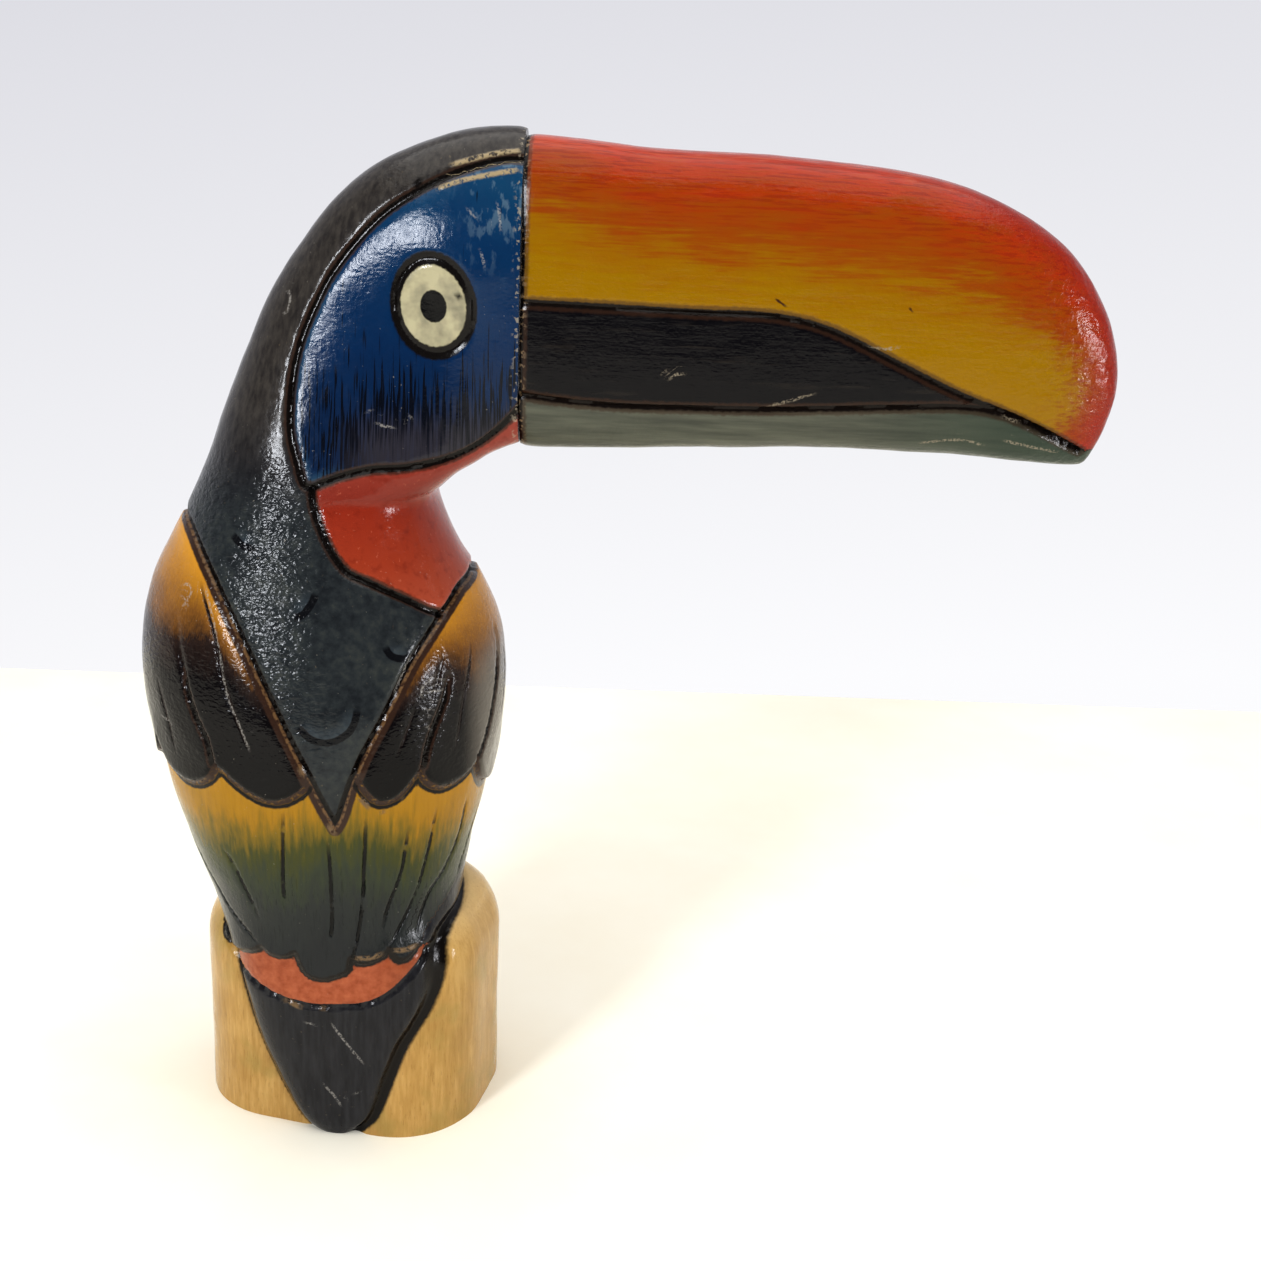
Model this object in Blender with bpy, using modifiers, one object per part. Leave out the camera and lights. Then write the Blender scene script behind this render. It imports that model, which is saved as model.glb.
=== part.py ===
"""Carved and painted wooden toucan on a block perch, looking back over its wing.

The bird, its tail and the perch are one piece of wood. The bill is a second piece,
glued on the flat front of the head. +X runs along the bill, -Y is the side of the
bird's back, +Z is up, and the origin is the centre of the perch's underside.
"""
import math

import bmesh
import bpy
import numpy as np
from mathutils import Matrix, Vector
from mathutils.bvhtree import BVHTree
from mathutils.kdtree import KDTree

# Driving sizes, in metres and degrees
FIGURE_HEIGHT = 0.250
BLOCK_WIDTH = 0.0736
BLOCK_DEPTH = 0.056
BLOCK_HEIGHT = 0.0605
BLOCK_CORNER_RADIUS = 0.022
BLOCK_TOP_RADIUS = 0.0155
BLOCK_TURN = -13.0
HEAD_THICKNESS = 0.0315
BILL_LENGTH = 0.1430
BILL_THICKNESS = 0.0295
SEAM_GAP = 0.0003
OUTLINE_GROOVE_WIDTH = 0.0028
OUTLINE_GROOVE_DEPTH = 0.0012
FINE_GROOVE_WIDTH = 0.0022
FINE_GROOVE_DEPTH = 0.0009
STRIPE_GROOVE_WIDTH = 0.0024
STRIPE_GROOVE_DEPTH = 0.0009
COVERT_STEP = 0.0018
WING_TIP_STEP = 0.0014
EYE_WIDTH = 0.0150
EYE_HEIGHT = 0.0186
EYE_LEAN = 8.0
EYE_RING_WIDTH = 0.0028
EYE_RING_DEPTH = 0.0010

# The free carving is drawn in units of 1/250 of the figure's height
UNIT = FIGURE_HEIGHT / 250
SEAM = 40.6
HEAD_MIDDLE = 4.0
STEP_SHARPNESS = 0.4 * UNIT
STEP_REACH = 5.0 * UNIT
LINE_SPACING = 0.3 * UNIT
DRAWN_BILL = 143.0
BILL_STRETCH = BILL_LENGTH / UNIT / DRAWN_BILL

# Places on the trunk are given by the angle about this upright line, from the bird's
# back (0) towards the side under the bill (90), and by height
TRUNK_LINE = (-7.0, 1.0)

# How finely the form is carved, and how many facets are kept
FORM_VOXEL = 1.0 * UNIT
BODY_FACETS = 7700
BILL_FACETS = 1800

# What stands past a flat cut before it is made
SPARE = 3.0 * UNIT


def tail_rib(left, right, height, proud, half_depth, left_square, right_square):
    """A level rib of the tail, standing proud of the block's back face."""
    middle = -BLOCK_DEPTH / 2 / UNIT - proud + half_depth
    return (left, height, right, height, middle, half_depth, left_square, right_square)


def trunk_rib(left, right, middle, half_depth, right_square=2.1):
    """A rib of the trunk between two points (x, z)."""
    return (*left, *right, middle, half_depth, 2.1, right_square)


def head_rib(nape, throat, swell):
    """A rib of the head, as thick as the seam times swell."""
    half_depth = HEAD_THICKNESS / 2 / UNIT * swell
    return (*nape, *throat, HEAD_MIDDLE, half_depth, 2.4, 3.0)


def bill_rib(top, bottom, share):
    """A rib of the bill, with x from the seam on the bill as it was drawn."""
    half_depth = BILL_THICKNESS / 2 / UNIT * share
    return (SEAM + top[0] * BILL_STRETCH, top[1], SEAM + bottom[0] * BILL_STRETCH, bottom[1],
            HEAD_MIDDLE, half_depth, 2.8, 2.8)


# Ribs from the tail's tip to the front of the head. Each becomes the left end (x, z), the
# right end (x, z), the middle y, the half depth, and how square each half of it is
BIRD_RIBS = [
    tail_rib(-4.0, 4.5, -2.0, 1.5, 5.0, 2.2, 2.4),
    tail_rib(-8.7, 8.6, 1.5, 3.0, 7.0, 2.4, 3.0),
    tail_rib(-11.6, 11.8, 5.5, 4.0, 8.5, 2.6, 3.5),
    tail_rib(-15.6, 15.0, 13.0, 4.5, 10.0, 2.6, 3.7),
    tail_rib(-20.8, 19.0, 25.0, 5.5, 12.0, 2.5, 3.5),
    tail_rib(-24.6, 25.3, 37.0, 6.2, 15.7, 2.4, 3.0),
    tail_rib(-28.6, 29.2, 48.0, 6.7, 21.7, 2.3, 2.6),
    trunk_rib((-34.2, 60.0), (28.4, 60.0), -6.0, 29.0),
    trunk_rib((-39.6, 72.0), (30.2, 72.0), -2.0, 34.0),
    trunk_rib((-44.3, 85.0), (33.4, 85.0), 0.0, 37.5),
    trunk_rib((-48.8, 100.0), (36.6, 100.0), 1.0, 39.5),
    trunk_rib((-51.6, 115.0), (37.9, 115.0), 2.0, 40.0),
    trunk_rib((-51.4, 128.0), (36.6, 128.0), 2.5, 38.0),
    trunk_rib((-48.5, 141.0), (32.2, 139.0), 3.0, 34.5),
    trunk_rib((-43.9, 150.5), (26.6, 147.5), 3.0, 31.0),
    trunk_rib((-39.4, 159.5), (22.5, 156.0), 3.5, 28.0, 2.2),
    trunk_rib((-34.9, 170.0), (20.8, 163.2), 4.0, 25.0, 2.4),
    head_rib((-31.0, 180.5), (25.4, 168.6), 1.42),
    head_rib((-27.2, 190.9), (30.4, 171.6), 1.28),
    head_rib((-22.9, 201.0), (34.2, 174.0), 1.17),
    head_rib((-17.9, 211.5), (37.0, 175.2), 1.10),
    head_rib((-11.4, 222.0), (39.0, 176.0), 1.05),
    head_rib((-3.4, 232.0), (40.2, 176.2), 1.02),
    head_rib((6.6, 240.5), (40.8, 176.2), 1.0),
    head_rib((19.6, 246.3), (41.4, 176.2), 1.0),
    head_rib((31.0, 249.2), (42.0, 176.2), 1.0),
    head_rib((44.0, 249.8), (44.0, 176.2), 1.0),
]

BILL_RIBS = [
    bill_rib((-3.0, 248.4), (-3.0, 175.6), 1.0),
    bill_rib((8.0, 247.8), (7.0, 175.4), 1.0),
    bill_rib((30.0, 246.2), (27.0, 176.2), 1.0),
    bill_rib((56.0, 245.6), (49.0, 177.2), 1.0),
    bill_rib((82.0, 244.0), (74.0, 178.2), 0.98),
    bill_rib((101.0, 240.6), (95.0, 178.0), 0.95),
    bill_rib((116.0, 234.8), (109.0, 177.6), 0.89),
    bill_rib((127.0, 227.2), (119.0, 177.0), 0.81),
    bill_rib((134.6, 218.0), (126.0, 176.6), 0.70),
    bill_rib((139.4, 208.4), (130.5, 176.3), 0.57),
    bill_rib((141.8, 198.0), (133.5, 176.2), 0.43),
    bill_rib((140.6, 188.0), (135.8, 176.6), 0.27),
    bill_rib((138.4, 180.6), (136.9, 177.8), 0.08),
]

# Lines cut in the trunk, as (angle, height)
MANTLE_TIP = (12.4, 89.6)
LEFT_MANTLE_EDGE = [MANTLE_TIP, (6.7, 97.6), (0.9, 106.5), (-10.4, 121.7), (-23.0, 134.5),
                    (-38.3, 145.5), (-54.6, 152.7), (-70.0, 156.2), (-88.0, 157.0)]
RIGHT_MANTLE_EDGE = [MANTLE_TIP, (14.5, 92.8), (16.4, 97.3), (19.4, 103.5), (23.4, 109.8),
                     (32.5, 120.6), (39.5, 127.8), (47.0, 132.9), (58.3, 138.2), (70.6, 141.7),
                     (79.4, 142.7), (94.6, 143.2)]
LEFT_WING_FRONT = [(-88.0, 157.0), (-108.0, 153.0), (-122.0, 141.0), (-129.0, 122.0), (-127.0, 101.0)]
RIGHT_WING_FRONT = [(94.6, 143.2), (113.0, 142.0), (125.0, 136.0), (131.0, 120.0), (129.0, 99.0)]
COVERT_LINES = [
    [(-30.7, 103.7), (-33.1, 109.3), (-37.2, 114.5), (-40.6, 119.6), (-43.7, 124.7), (-48.0, 131.1),
     (-52.1, 137.6)],
    [(42.1, 104.0), (43.6, 108.5), (46.5, 113.5), (50.5, 119.0), (53.5, 124.5)],
    [(66.5, 101.5), (70.4, 105.0), (74.0, 110.2), (78.6, 119.2), (82.8, 125.9), (84.5, 131.0)],
]
RUMP_EDGE = [(-56.0, 52.0), (-48.5, 48.0), (-40.0, 45.0), (-31.0, 43.4), (-22.1, 42.0), (-13.9, 40.7),
             (-5.7, 39.9), (1.8, 39.3), (12.1, 39.5), (21.5, 40.3), (26.8, 41.7), (32.1, 44.2),
             (36.3, 47.0), (40.0, 49.4), (43.6, 51.5), (46.0, 53.5)]
BIB_EDGE = [(3.0, 168.6), (4.0, 164.7), (10.6, 157.2), (19.6, 150.6), (30.1, 147.6), (35.6, 146.0),
            (42.4, 143.9), (47.3, 142.1), (52.0, 140.2), (57.6, 138.6)]

# Rounded feather ends, each as a line of (angle, height)
LEFT_COVERTS = [
    [(-127.0, 101.0), (-123.0, 97.0), (-111.0, 94.3), (-99.0, 96.5), (-94.0, 101.0)],
    [(-94.0, 101.0), (-91.0, 98.0), (-79.0, 95.5), (-67.0, 98.5), (-62.0, 104.0)],
    [(-62.0, 104.0), (-59.5, 101.5), (-55.8, 98.7), (-49.5, 97.2), (-43.8, 97.0), (-38.4, 98.0),
     (-33.3, 100.4), (-30.7, 103.7)],
    [(-30.7, 103.7), (-26.8, 102.6), (-22.8, 100.6), (-17.3, 98.3), (-11.8, 96.9), (-6.5, 97.0),
     (-1.9, 98.6), (1.3, 100.5), (2.9, 102.8)],
]
RIGHT_COVERTS = [
    [(19.4, 104.0), (21.5, 101.5), (23.8, 98.9), (26.9, 96.8), (30.1, 96.5), (33.4, 97.4),
     (36.6, 99.5), (39.0, 101.7), (42.1, 104.0)],
    [(42.1, 104.0), (42.8, 101.8), (44.6, 99.5), (49.5, 97.3), (54.5, 97.0), (59.7, 97.7),
     (63.8, 99.0), (66.5, 101.5)],
    [(66.5, 101.5), (69.0, 97.0), (73.0, 93.5), (80.0, 91.0), (88.0, 91.5), (95.0, 95.0), (99.0, 98.5)],
    [(99.0, 98.5), (103.0, 94.0), (114.0, 91.5), (124.0, 94.5), (129.0, 99.0)],
]
WING_TIPS = [
    [(-58.0, 54.0), (-52.9, 49.6), (-48.4, 48.6), (-38.9, 49.1), (-26.7, 51.2), (-22.4, 52.3),
     (-19.2, 53.8)],
    [(-19.2, 53.8), (-16.3, 52.6), (-12.2, 52.2), (-7.7, 52.7), (-4.0, 54.2)],
    [(-4.0, 54.2), (-2.5, 51.1), (-0.6, 49.0), (2.4, 47.6), (7.3, 47.2), (12.1, 48.2), (16.4, 49.9),
     (17.8, 53.6)],
    [(17.8, 53.6), (20.4, 52.0), (24.8, 52.3), (29.3, 53.6), (31.2, 55.2)],
    [(31.2, 55.2), (33.8, 52.3), (36.6, 52.0), (39.0, 52.8), (42.0, 54.6)],
]

# Lines cut in both sides of the head, as (x, height)
FACE_EDGE = [(44.0, 243.4), (36.5, 243.0), (30.9, 241.6), (25.3, 239.6), (17.5, 235.6), (8.5, 229.3),
             (-0.6, 218.9), (-5.6, 210.2), (-9.7, 199.9), (-11.5, 189.8), (-11.4, 181.0),
             (-9.5, 174.0), (-7.2, 168.6), (-2.9, 169.8), (1.6, 171.4), (8.1, 172.8),
             (15.6, 173.1), (23.2, 174.3), (28.8, 176.2), (32.7, 178.5), (36.0, 181.3),
             (39.0, 184.5), (44.0, 190.0)]
EYE_CENTRE = (21.2, 210.3)

# Lines cut in both sides of the bill, as (x from the seam, height)
STRIPE_TOP = [(-2.0, 211.8), (23.1, 211.5), (41.4, 211.2), (57.4, 211.2), (71.4, 208.5),
              (88.2, 201.1), (102.9, 194.5), (117.8, 188.9), (134.1, 180.7)]
STRIPE_BOTTOM = [(-2.0, 190.2), (19.3, 188.4), (42.7, 188.5), (66.0, 189.3), (89.3, 190.8),
                 (103.3, 191.4), (112.9, 190.2), (123.0, 186.5), (134.1, 180.7)]


def smooth_rows(rows, steps):
    """More rows between the given ones, on a Catmull-Rom curve through them."""
    rows = np.array(rows, float)
    padded = np.vstack([2 * rows[0] - rows[1], rows, 2 * rows[-1] - rows[-2]])
    result = []
    for index in range(len(rows) - 1):
        first, second, third, fourth = padded[index:index + 4]
        for t in np.arange(steps) / steps:
            result.append(0.5 * (2 * second + (third - first) * t
                                 + (2 * first - 5 * second + 4 * third - fourth) * t ** 2
                                 + (3 * second - first - 3 * third + fourth) * t ** 3))
    result.append(rows[-1])
    return np.array(result)


def feather_ends(rows):
    """One line along the ends of a row of feathers."""
    return np.vstack([smooth_rows(row, 5) for row in rows])


def rib_ring(rib, count):
    """The closed outline of one rib, as evenly spaced points in metres."""
    left_x, left_z, right_x, right_z, middle, half_depth, left_square, right_square = rib
    turn = np.linspace(0, 2 * math.pi, 721)
    along, across = np.cos(turn), np.sin(turn)
    power = np.where(along > 0, 2 / right_square, 2 / left_square)
    along = np.sign(along) * np.abs(along) ** power
    across = np.sign(across) * np.abs(across) ** power
    x = (left_x + right_x) / 2 + (right_x - left_x) / 2 * along
    z = (left_z + right_z) / 2 + (right_z - left_z) / 2 * along
    outline = np.stack([x, middle + half_depth * across, z], axis=1) * UNIT
    passed = np.cumsum(np.linalg.norm(np.diff(outline, axis=0), axis=1))
    passed = np.concatenate([[0], passed])
    wanted = np.arange(count) * passed[-1] / count
    return np.stack([np.interp(wanted, passed, outline[:, axis]) for axis in range(3)], axis=1)


def finish_mesh(name, mesh):
    """An object from a bmesh, with its faces pointing out."""
    bmesh.ops.recalc_face_normals(mesh, faces=mesh.faces)
    data = bpy.data.meshes.new(name)
    mesh.to_mesh(data)
    mesh.free()
    result = bpy.data.objects.new(name, data)
    collection.objects.link(result)
    return result


def loft(name, ribs, steps, count):
    """A closed solid through the ribs' outlines."""
    mesh = bmesh.new()
    rings = [[mesh.verts.new(point) for point in rib_ring(rib, count)]
             for rib in smooth_rows(ribs, steps)]
    for lower, upper in zip(rings, rings[1:]):
        for index in range(count):
            after = (index + 1) % count
            mesh.faces.new((lower[index], lower[after], upper[after], upper[index]))
    mesh.faces.new(reversed(rings[0]))
    mesh.faces.new(rings[-1])
    return finish_mesh(name, mesh)


def perch_block(name):
    """The perch: a block with round corners and a round top, turned under the bird."""
    mesh = bmesh.new()
    bmesh.ops.create_cube(mesh, size=1.0)
    height = BLOCK_HEIGHT + SPARE
    bmesh.ops.scale(mesh, vec=(BLOCK_WIDTH, BLOCK_DEPTH, height), verts=mesh.verts)
    bmesh.ops.translate(mesh, vec=(0, 0, BLOCK_HEIGHT - height / 2), verts=mesh.verts)
    upright = [edge for edge in mesh.edges
               if abs(edge.verts[0].co.z - edge.verts[1].co.z) > height / 2]
    bmesh.ops.bevel(mesh, geom=upright, offset=BLOCK_CORNER_RADIUS, segments=10,
                    profile=0.5, affect="EDGES")
    top = [edge for edge in mesh.edges
           if min(vert.co.z for vert in edge.verts) > BLOCK_HEIGHT - 1e-6]
    bmesh.ops.bevel(mesh, geom=top, offset=BLOCK_TOP_RADIUS, segments=8,
                    profile=0.5, affect="EDGES")
    turn = Matrix.Rotation(math.radians(BLOCK_TURN), 3, "Z")
    bmesh.ops.rotate(mesh, matrix=turn, verts=mesh.verts)
    return finish_mesh(name, mesh)


def replace_with_result(obj):
    """Apply an object's modifiers to its mesh."""
    bpy.context.view_layer.update()
    graph = bpy.context.evaluated_depsgraph_get()
    result = bpy.data.meshes.new_from_object(obj.evaluated_get(graph))
    obj.modifiers.clear()
    obj.data = result


def surface_tree(obj):
    """A search tree of an object's faces."""
    corners = [vert.co.copy() for vert in obj.data.vertices]
    return BVHTree.FromPolygons(corners, [tuple(face.vertices) for face in obj.data.polygons])


def on_trunk(tree, line):
    """The points of a line (angle, height) on the outside of the trunk."""
    centre = Vector((TRUNK_LINE[0], TRUNK_LINE[1], 0)) * UNIT
    points = []
    for angle, height in line:
        turn = math.radians(angle)
        away = Vector((math.sin(turn), -math.cos(turn), 0))
        start = centre + away * FIGURE_HEIGHT + Vector((0, 0, height * UNIT))
        points.append(tree.ray_cast(start, -away)[0])
    return [point for point in points if point is not None]


def on_side(tree, line, side):
    """The points of a line (x, height) on the near (-1) or the far (1) side."""
    points = []
    for x, height in line:
        start = Vector((x * UNIT, side * FIGURE_HEIGHT, height * UNIT))
        points.append(tree.ray_cast(start, Vector((0, -side, 0)))[0])
    return [point for point in points if point is not None]


def distance_to(verts, line):
    """Each vertex's distance to a line of points in space."""
    samples = []
    for start, stop in zip(line, line[1:]):
        count = max(1, math.ceil((stop - start).length / LINE_SPACING))
        samples += [start.lerp(stop, index / count) for index in range(count)]
    tree = KDTree(len(samples))
    for index, sample in enumerate(samples):
        tree.insert(sample, index)
    tree.balance()
    return np.array([tree.find(vert)[2] for vert in verts])


def groove(distance, width, depth):
    """The height of a round-bottomed groove at a distance from its middle."""
    share = np.clip(np.abs(distance) / (width / 2), 0, 1)
    return -depth * (1 - share ** 2) ** 2


def edge_step(distance, height):
    """One side raised and the other sunk beside an edge, fading away from it."""
    sharp = np.tanh(distance / STEP_SHARPNESS)
    return height / 2 * sharp * np.exp(-np.abs(distance) / STEP_REACH)


def trunk_relief(verts, tree):
    """The relief of mantle, wings, rump and bib, along each vertex's normal."""
    place = np.array(verts)
    x = place[:, 0] - TRUNK_LINE[0] * UNIT
    y = place[:, 1] - TRUNK_LINE[1] * UNIT
    angle = np.degrees(np.arctan2(x, -y))
    height = place[:, 2] / UNIT
    relief = np.zeros(len(verts))
    for edge, front, coverts in ((LEFT_MANTLE_EDGE, LEFT_WING_FRONT, LEFT_COVERTS),
                                 (RIGHT_MANTLE_EDGE, RIGHT_WING_FRONT, RIGHT_COVERTS)):
        arm = smooth_rows(edge, 8)
        ends = feather_ends(coverts)
        away = distance_to(verts, on_trunk(tree, arm))
        relief += groove(away, OUTLINE_GROOVE_WIDTH, OUTLINE_GROOVE_DEPTH)
        leading = smooth_rows(front, 8)
        away = distance_to(verts, on_trunk(tree, leading))
        relief += groove(away, OUTLINE_GROOVE_WIDTH, OUTLINE_GROOVE_DEPTH)
        above = height > np.interp(angle, *sorted_line(ends))
        away = distance_to(verts, on_trunk(tree, ends))
        relief += edge_step(np.where(above, away, -away), COVERT_STEP)
    for line in COVERT_LINES:
        away = distance_to(verts, on_trunk(tree, smooth_rows(line, 6)))
        relief += groove(away, FINE_GROOVE_WIDTH, FINE_GROOVE_DEPTH)
    tips = feather_ends(WING_TIPS)
    above = height > np.interp(angle, *sorted_line(tips))
    away = distance_to(verts, on_trunk(tree, tips))
    relief += edge_step(np.where(above, away, -away), WING_TIP_STEP)
    away = distance_to(verts, on_trunk(tree, smooth_rows(RUMP_EDGE, 6)))
    relief += groove(away, FINE_GROOVE_WIDTH, FINE_GROOVE_DEPTH)
    near_bib = on_trunk(tree, smooth_rows(BIB_EDGE, 8))
    far_bib = [mirrored(point) for point in near_bib]
    for line in (near_bib, far_bib):
        relief += groove(distance_to(verts, line), OUTLINE_GROOVE_WIDTH, OUTLINE_GROOVE_DEPTH)
    return relief


def sorted_line(line):
    """A line's angles and heights in order of angle."""
    ordered = np.array(sorted(map(tuple, line)))
    return ordered[:, 0], ordered[:, 1]


def mirrored(point):
    """A point on the other side of the head's middle plane."""
    return Vector((point.x, 2 * HEAD_MIDDLE * UNIT - point.y, point.z))


def head_relief(verts, tree):
    """The face's outline and the eye's ring on both sides of the head."""
    relief = np.zeros(len(verts))
    across = (EYE_WIDTH + EYE_RING_WIDTH) / 2 / UNIT
    along = (EYE_HEIGHT + EYE_RING_WIDTH) / 2 / UNIT
    lean = Matrix.Rotation(math.radians(EYE_LEAN), 2)
    ring = [Vector(EYE_CENTRE) + lean @ Vector((math.cos(turn) * across, math.sin(turn) * along))
            for turn in np.linspace(0, 2 * math.pi, 49)]
    for side in (-1, 1):
        away = distance_to(verts, on_side(tree, smooth_rows(FACE_EDGE, 6), side))
        relief += groove(away, FINE_GROOVE_WIDTH, FINE_GROOVE_DEPTH)
        away = distance_to(verts, on_side(tree, ring, side))
        relief += groove(away, EYE_RING_WIDTH, EYE_RING_DEPTH)
    return relief


def perch_relief(verts, bird_tree, block_tree):
    """The groove where the bird's body and tail meet the block."""
    from_bird = np.array([bird_tree.find_nearest(vert)[3] for vert in verts])
    from_block = np.array([block_tree.find_nearest(vert)[3] for vert in verts])
    return groove(from_bird - from_block, OUTLINE_GROOVE_WIDTH, OUTLINE_GROOVE_DEPTH)


def bill_relief(verts, tree):
    """The two edges of the black stripe on both sides of the bill."""
    relief = np.zeros(len(verts))
    for line in (STRIPE_TOP, STRIPE_BOTTOM):
        drawn = [(SEAM + x * BILL_STRETCH, height) for x, height in smooth_rows(line, 6)]
        for side in (-1, 1):
            away = distance_to(verts, on_side(tree, drawn, side))
            relief += groove(away, STRIPE_GROOVE_WIDTH, STRIPE_GROOVE_DEPTH)
    return relief


def raise_by(obj, relief):
    """Move each vertex along its normal."""
    normals = [vert.normal.copy() for vert in obj.data.vertices]
    for vert, normal, height in zip(obj.data.vertices, normals, relief):
        vert.co += normal * height


def keep_facets(obj, count):
    """Reduce a mesh to about a number of triangles where it is flattest.

    It is done in drawn units, because the modifier weighs small errors by a fixed amount.
    """
    triangles = sum(len(face.vertices) - 2 for face in obj.data.polygons)
    obj.data.transform(Matrix.Scale(1 / UNIT, 4))
    reduce = obj.modifiers.new("facets", "DECIMATE")
    reduce.ratio = count / triangles
    replace_with_result(obj)
    obj.data.transform(Matrix.Scale(UNIT, 4))


def cut_flat(obj, point, away):
    """Cut off what lies beyond a plane, and close the cut."""
    mesh = bmesh.new()
    mesh.from_mesh(obj.data)
    geometry = mesh.verts[:] + mesh.edges[:] + mesh.faces[:]
    bmesh.ops.bisect_plane(mesh, geom=geometry, plane_co=point, plane_no=away, clear_outer=True)
    rim = [edge for edge in mesh.edges if edge.is_boundary]
    bmesh.ops.holes_fill(mesh, edges=rim, sides=0)
    bmesh.ops.triangulate(mesh, faces=[face for face in mesh.faces if len(face.verts) > 4])
    bmesh.ops.recalc_face_normals(mesh, faces=mesh.faces)
    mesh.to_mesh(obj.data)
    mesh.free()


def paint(obj, name, colour, roughness):
    """Give an object its material and smooth its facets."""
    material = bpy.data.materials.new(name)
    material.use_nodes = True
    surface = material.node_tree.nodes["Principled BSDF"]
    surface.inputs["Base Color"].default_value = (*colour, 1)
    surface.inputs["Roughness"].default_value = roughness
    surface.inputs["Metallic"].default_value = 0.0
    obj.data.materials.clear()
    obj.data.materials.append(material)
    obj.data.shade_smooth()
    obj.data.set_sharp_from_angle(angle=math.radians(50))


def carved_toucan():
    """Bird, tail and perch, carved from one piece of wood."""
    bird = loft("carved_toucan", BIRD_RIBS, 6, 96)
    block = perch_block("block")
    bird_tree, block_tree = surface_tree(bird), surface_tree(block)
    join = bird.modifiers.new("join", "BOOLEAN")
    join.operation = "UNION"
    join.object = block
    even = bird.modifiers.new("even", "REMESH")
    even.mode = "VOXEL"
    even.voxel_size = FORM_VOXEL
    soften = bird.modifiers.new("soften", "SMOOTH")
    soften.iterations = 4
    replace_with_result(bird)
    bpy.data.objects.remove(block)
    tree = surface_tree(bird)
    verts = [vert.co.copy() for vert in bird.data.vertices]
    relief = trunk_relief(verts, tree) + head_relief(verts, tree)
    relief += perch_relief(verts, bird_tree, block_tree)
    raise_by(bird, relief)
    keep_facets(bird, BODY_FACETS)
    cut_flat(bird, (0, 0, 0), (0, 0, -1))
    cut_flat(bird, (SEAM * UNIT, 0, 0), (1, 0, 0))
    paint(bird, "painted_wood", (0.075, 0.078, 0.075), 0.35)
    return bird


def glued_bill():
    """The bill, a board rounded all over, with its stripe cut in."""
    bill = loft("bill", BILL_RIBS, 12, 200)
    verts = [vert.co.copy() for vert in bill.data.vertices]
    raise_by(bill, bill_relief(verts, surface_tree(bill)))
    keep_facets(bill, BILL_FACETS)
    cut_flat(bill, (SEAM * UNIT + SEAM_GAP, 0, 0), (-1, 0, 0))
    paint(bill, "painted_bill", (0.52, 0.13, 0.03), 0.3)
    return bill


for old in list(bpy.data.objects):
    bpy.data.objects.remove(old)

collection = bpy.data.collections.new("wooden_toucan")
bpy.context.scene.collection.children.link(collection)
carved = carved_toucan()
bill = glued_bill()
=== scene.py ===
"""The carved toucan's looks: fine carving, paint, varnish and wear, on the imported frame."""
import math

import bmesh
import bpy
import numpy as np
from mathutils import Matrix, Vector, noise
from mathutils.bvhtree import BVHTree


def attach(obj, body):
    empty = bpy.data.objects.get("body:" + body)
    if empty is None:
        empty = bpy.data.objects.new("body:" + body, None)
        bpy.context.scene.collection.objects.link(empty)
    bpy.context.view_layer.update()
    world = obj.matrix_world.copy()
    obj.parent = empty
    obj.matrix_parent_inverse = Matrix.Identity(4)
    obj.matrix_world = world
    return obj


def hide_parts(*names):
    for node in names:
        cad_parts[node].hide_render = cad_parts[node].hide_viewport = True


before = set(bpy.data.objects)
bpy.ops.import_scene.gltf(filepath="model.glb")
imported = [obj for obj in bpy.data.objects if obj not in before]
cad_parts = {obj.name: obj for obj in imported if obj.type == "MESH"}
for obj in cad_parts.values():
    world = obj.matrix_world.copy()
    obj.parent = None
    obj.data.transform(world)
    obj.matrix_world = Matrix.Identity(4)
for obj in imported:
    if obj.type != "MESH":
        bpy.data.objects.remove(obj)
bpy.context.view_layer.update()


# The table, the light and the camera
#
# A cream table top stands in front of a pale wall. The light is a bright room's: soft
# from all round, with one window high on the left and a smaller one low on the right.

TABLE_FAR_EDGE = ((-2.4, 0.234), (2.6, 0.355))
TABLE_NEAR = -0.9
CAMERA_PLACE = (0.0693, -0.4235, 0.2781)
CAMERA_PITCH = 19.3
CAMERA_ROLL = 2.5
CAMERA_LENS = 51.39
ROOM_TONE = (82, 82, 86)


def tint(red, green, blue):
    """A colour as seen on a screen, from 0 to 255, as the linear colour a shader takes."""
    seen = np.array([red, green, blue]) / 255
    linear = np.where(seen <= 0.04045, seen / 12.92, ((seen + 0.055) / 1.055) ** 2.4)
    return (*linear.tolist(), 1.0)


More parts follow.
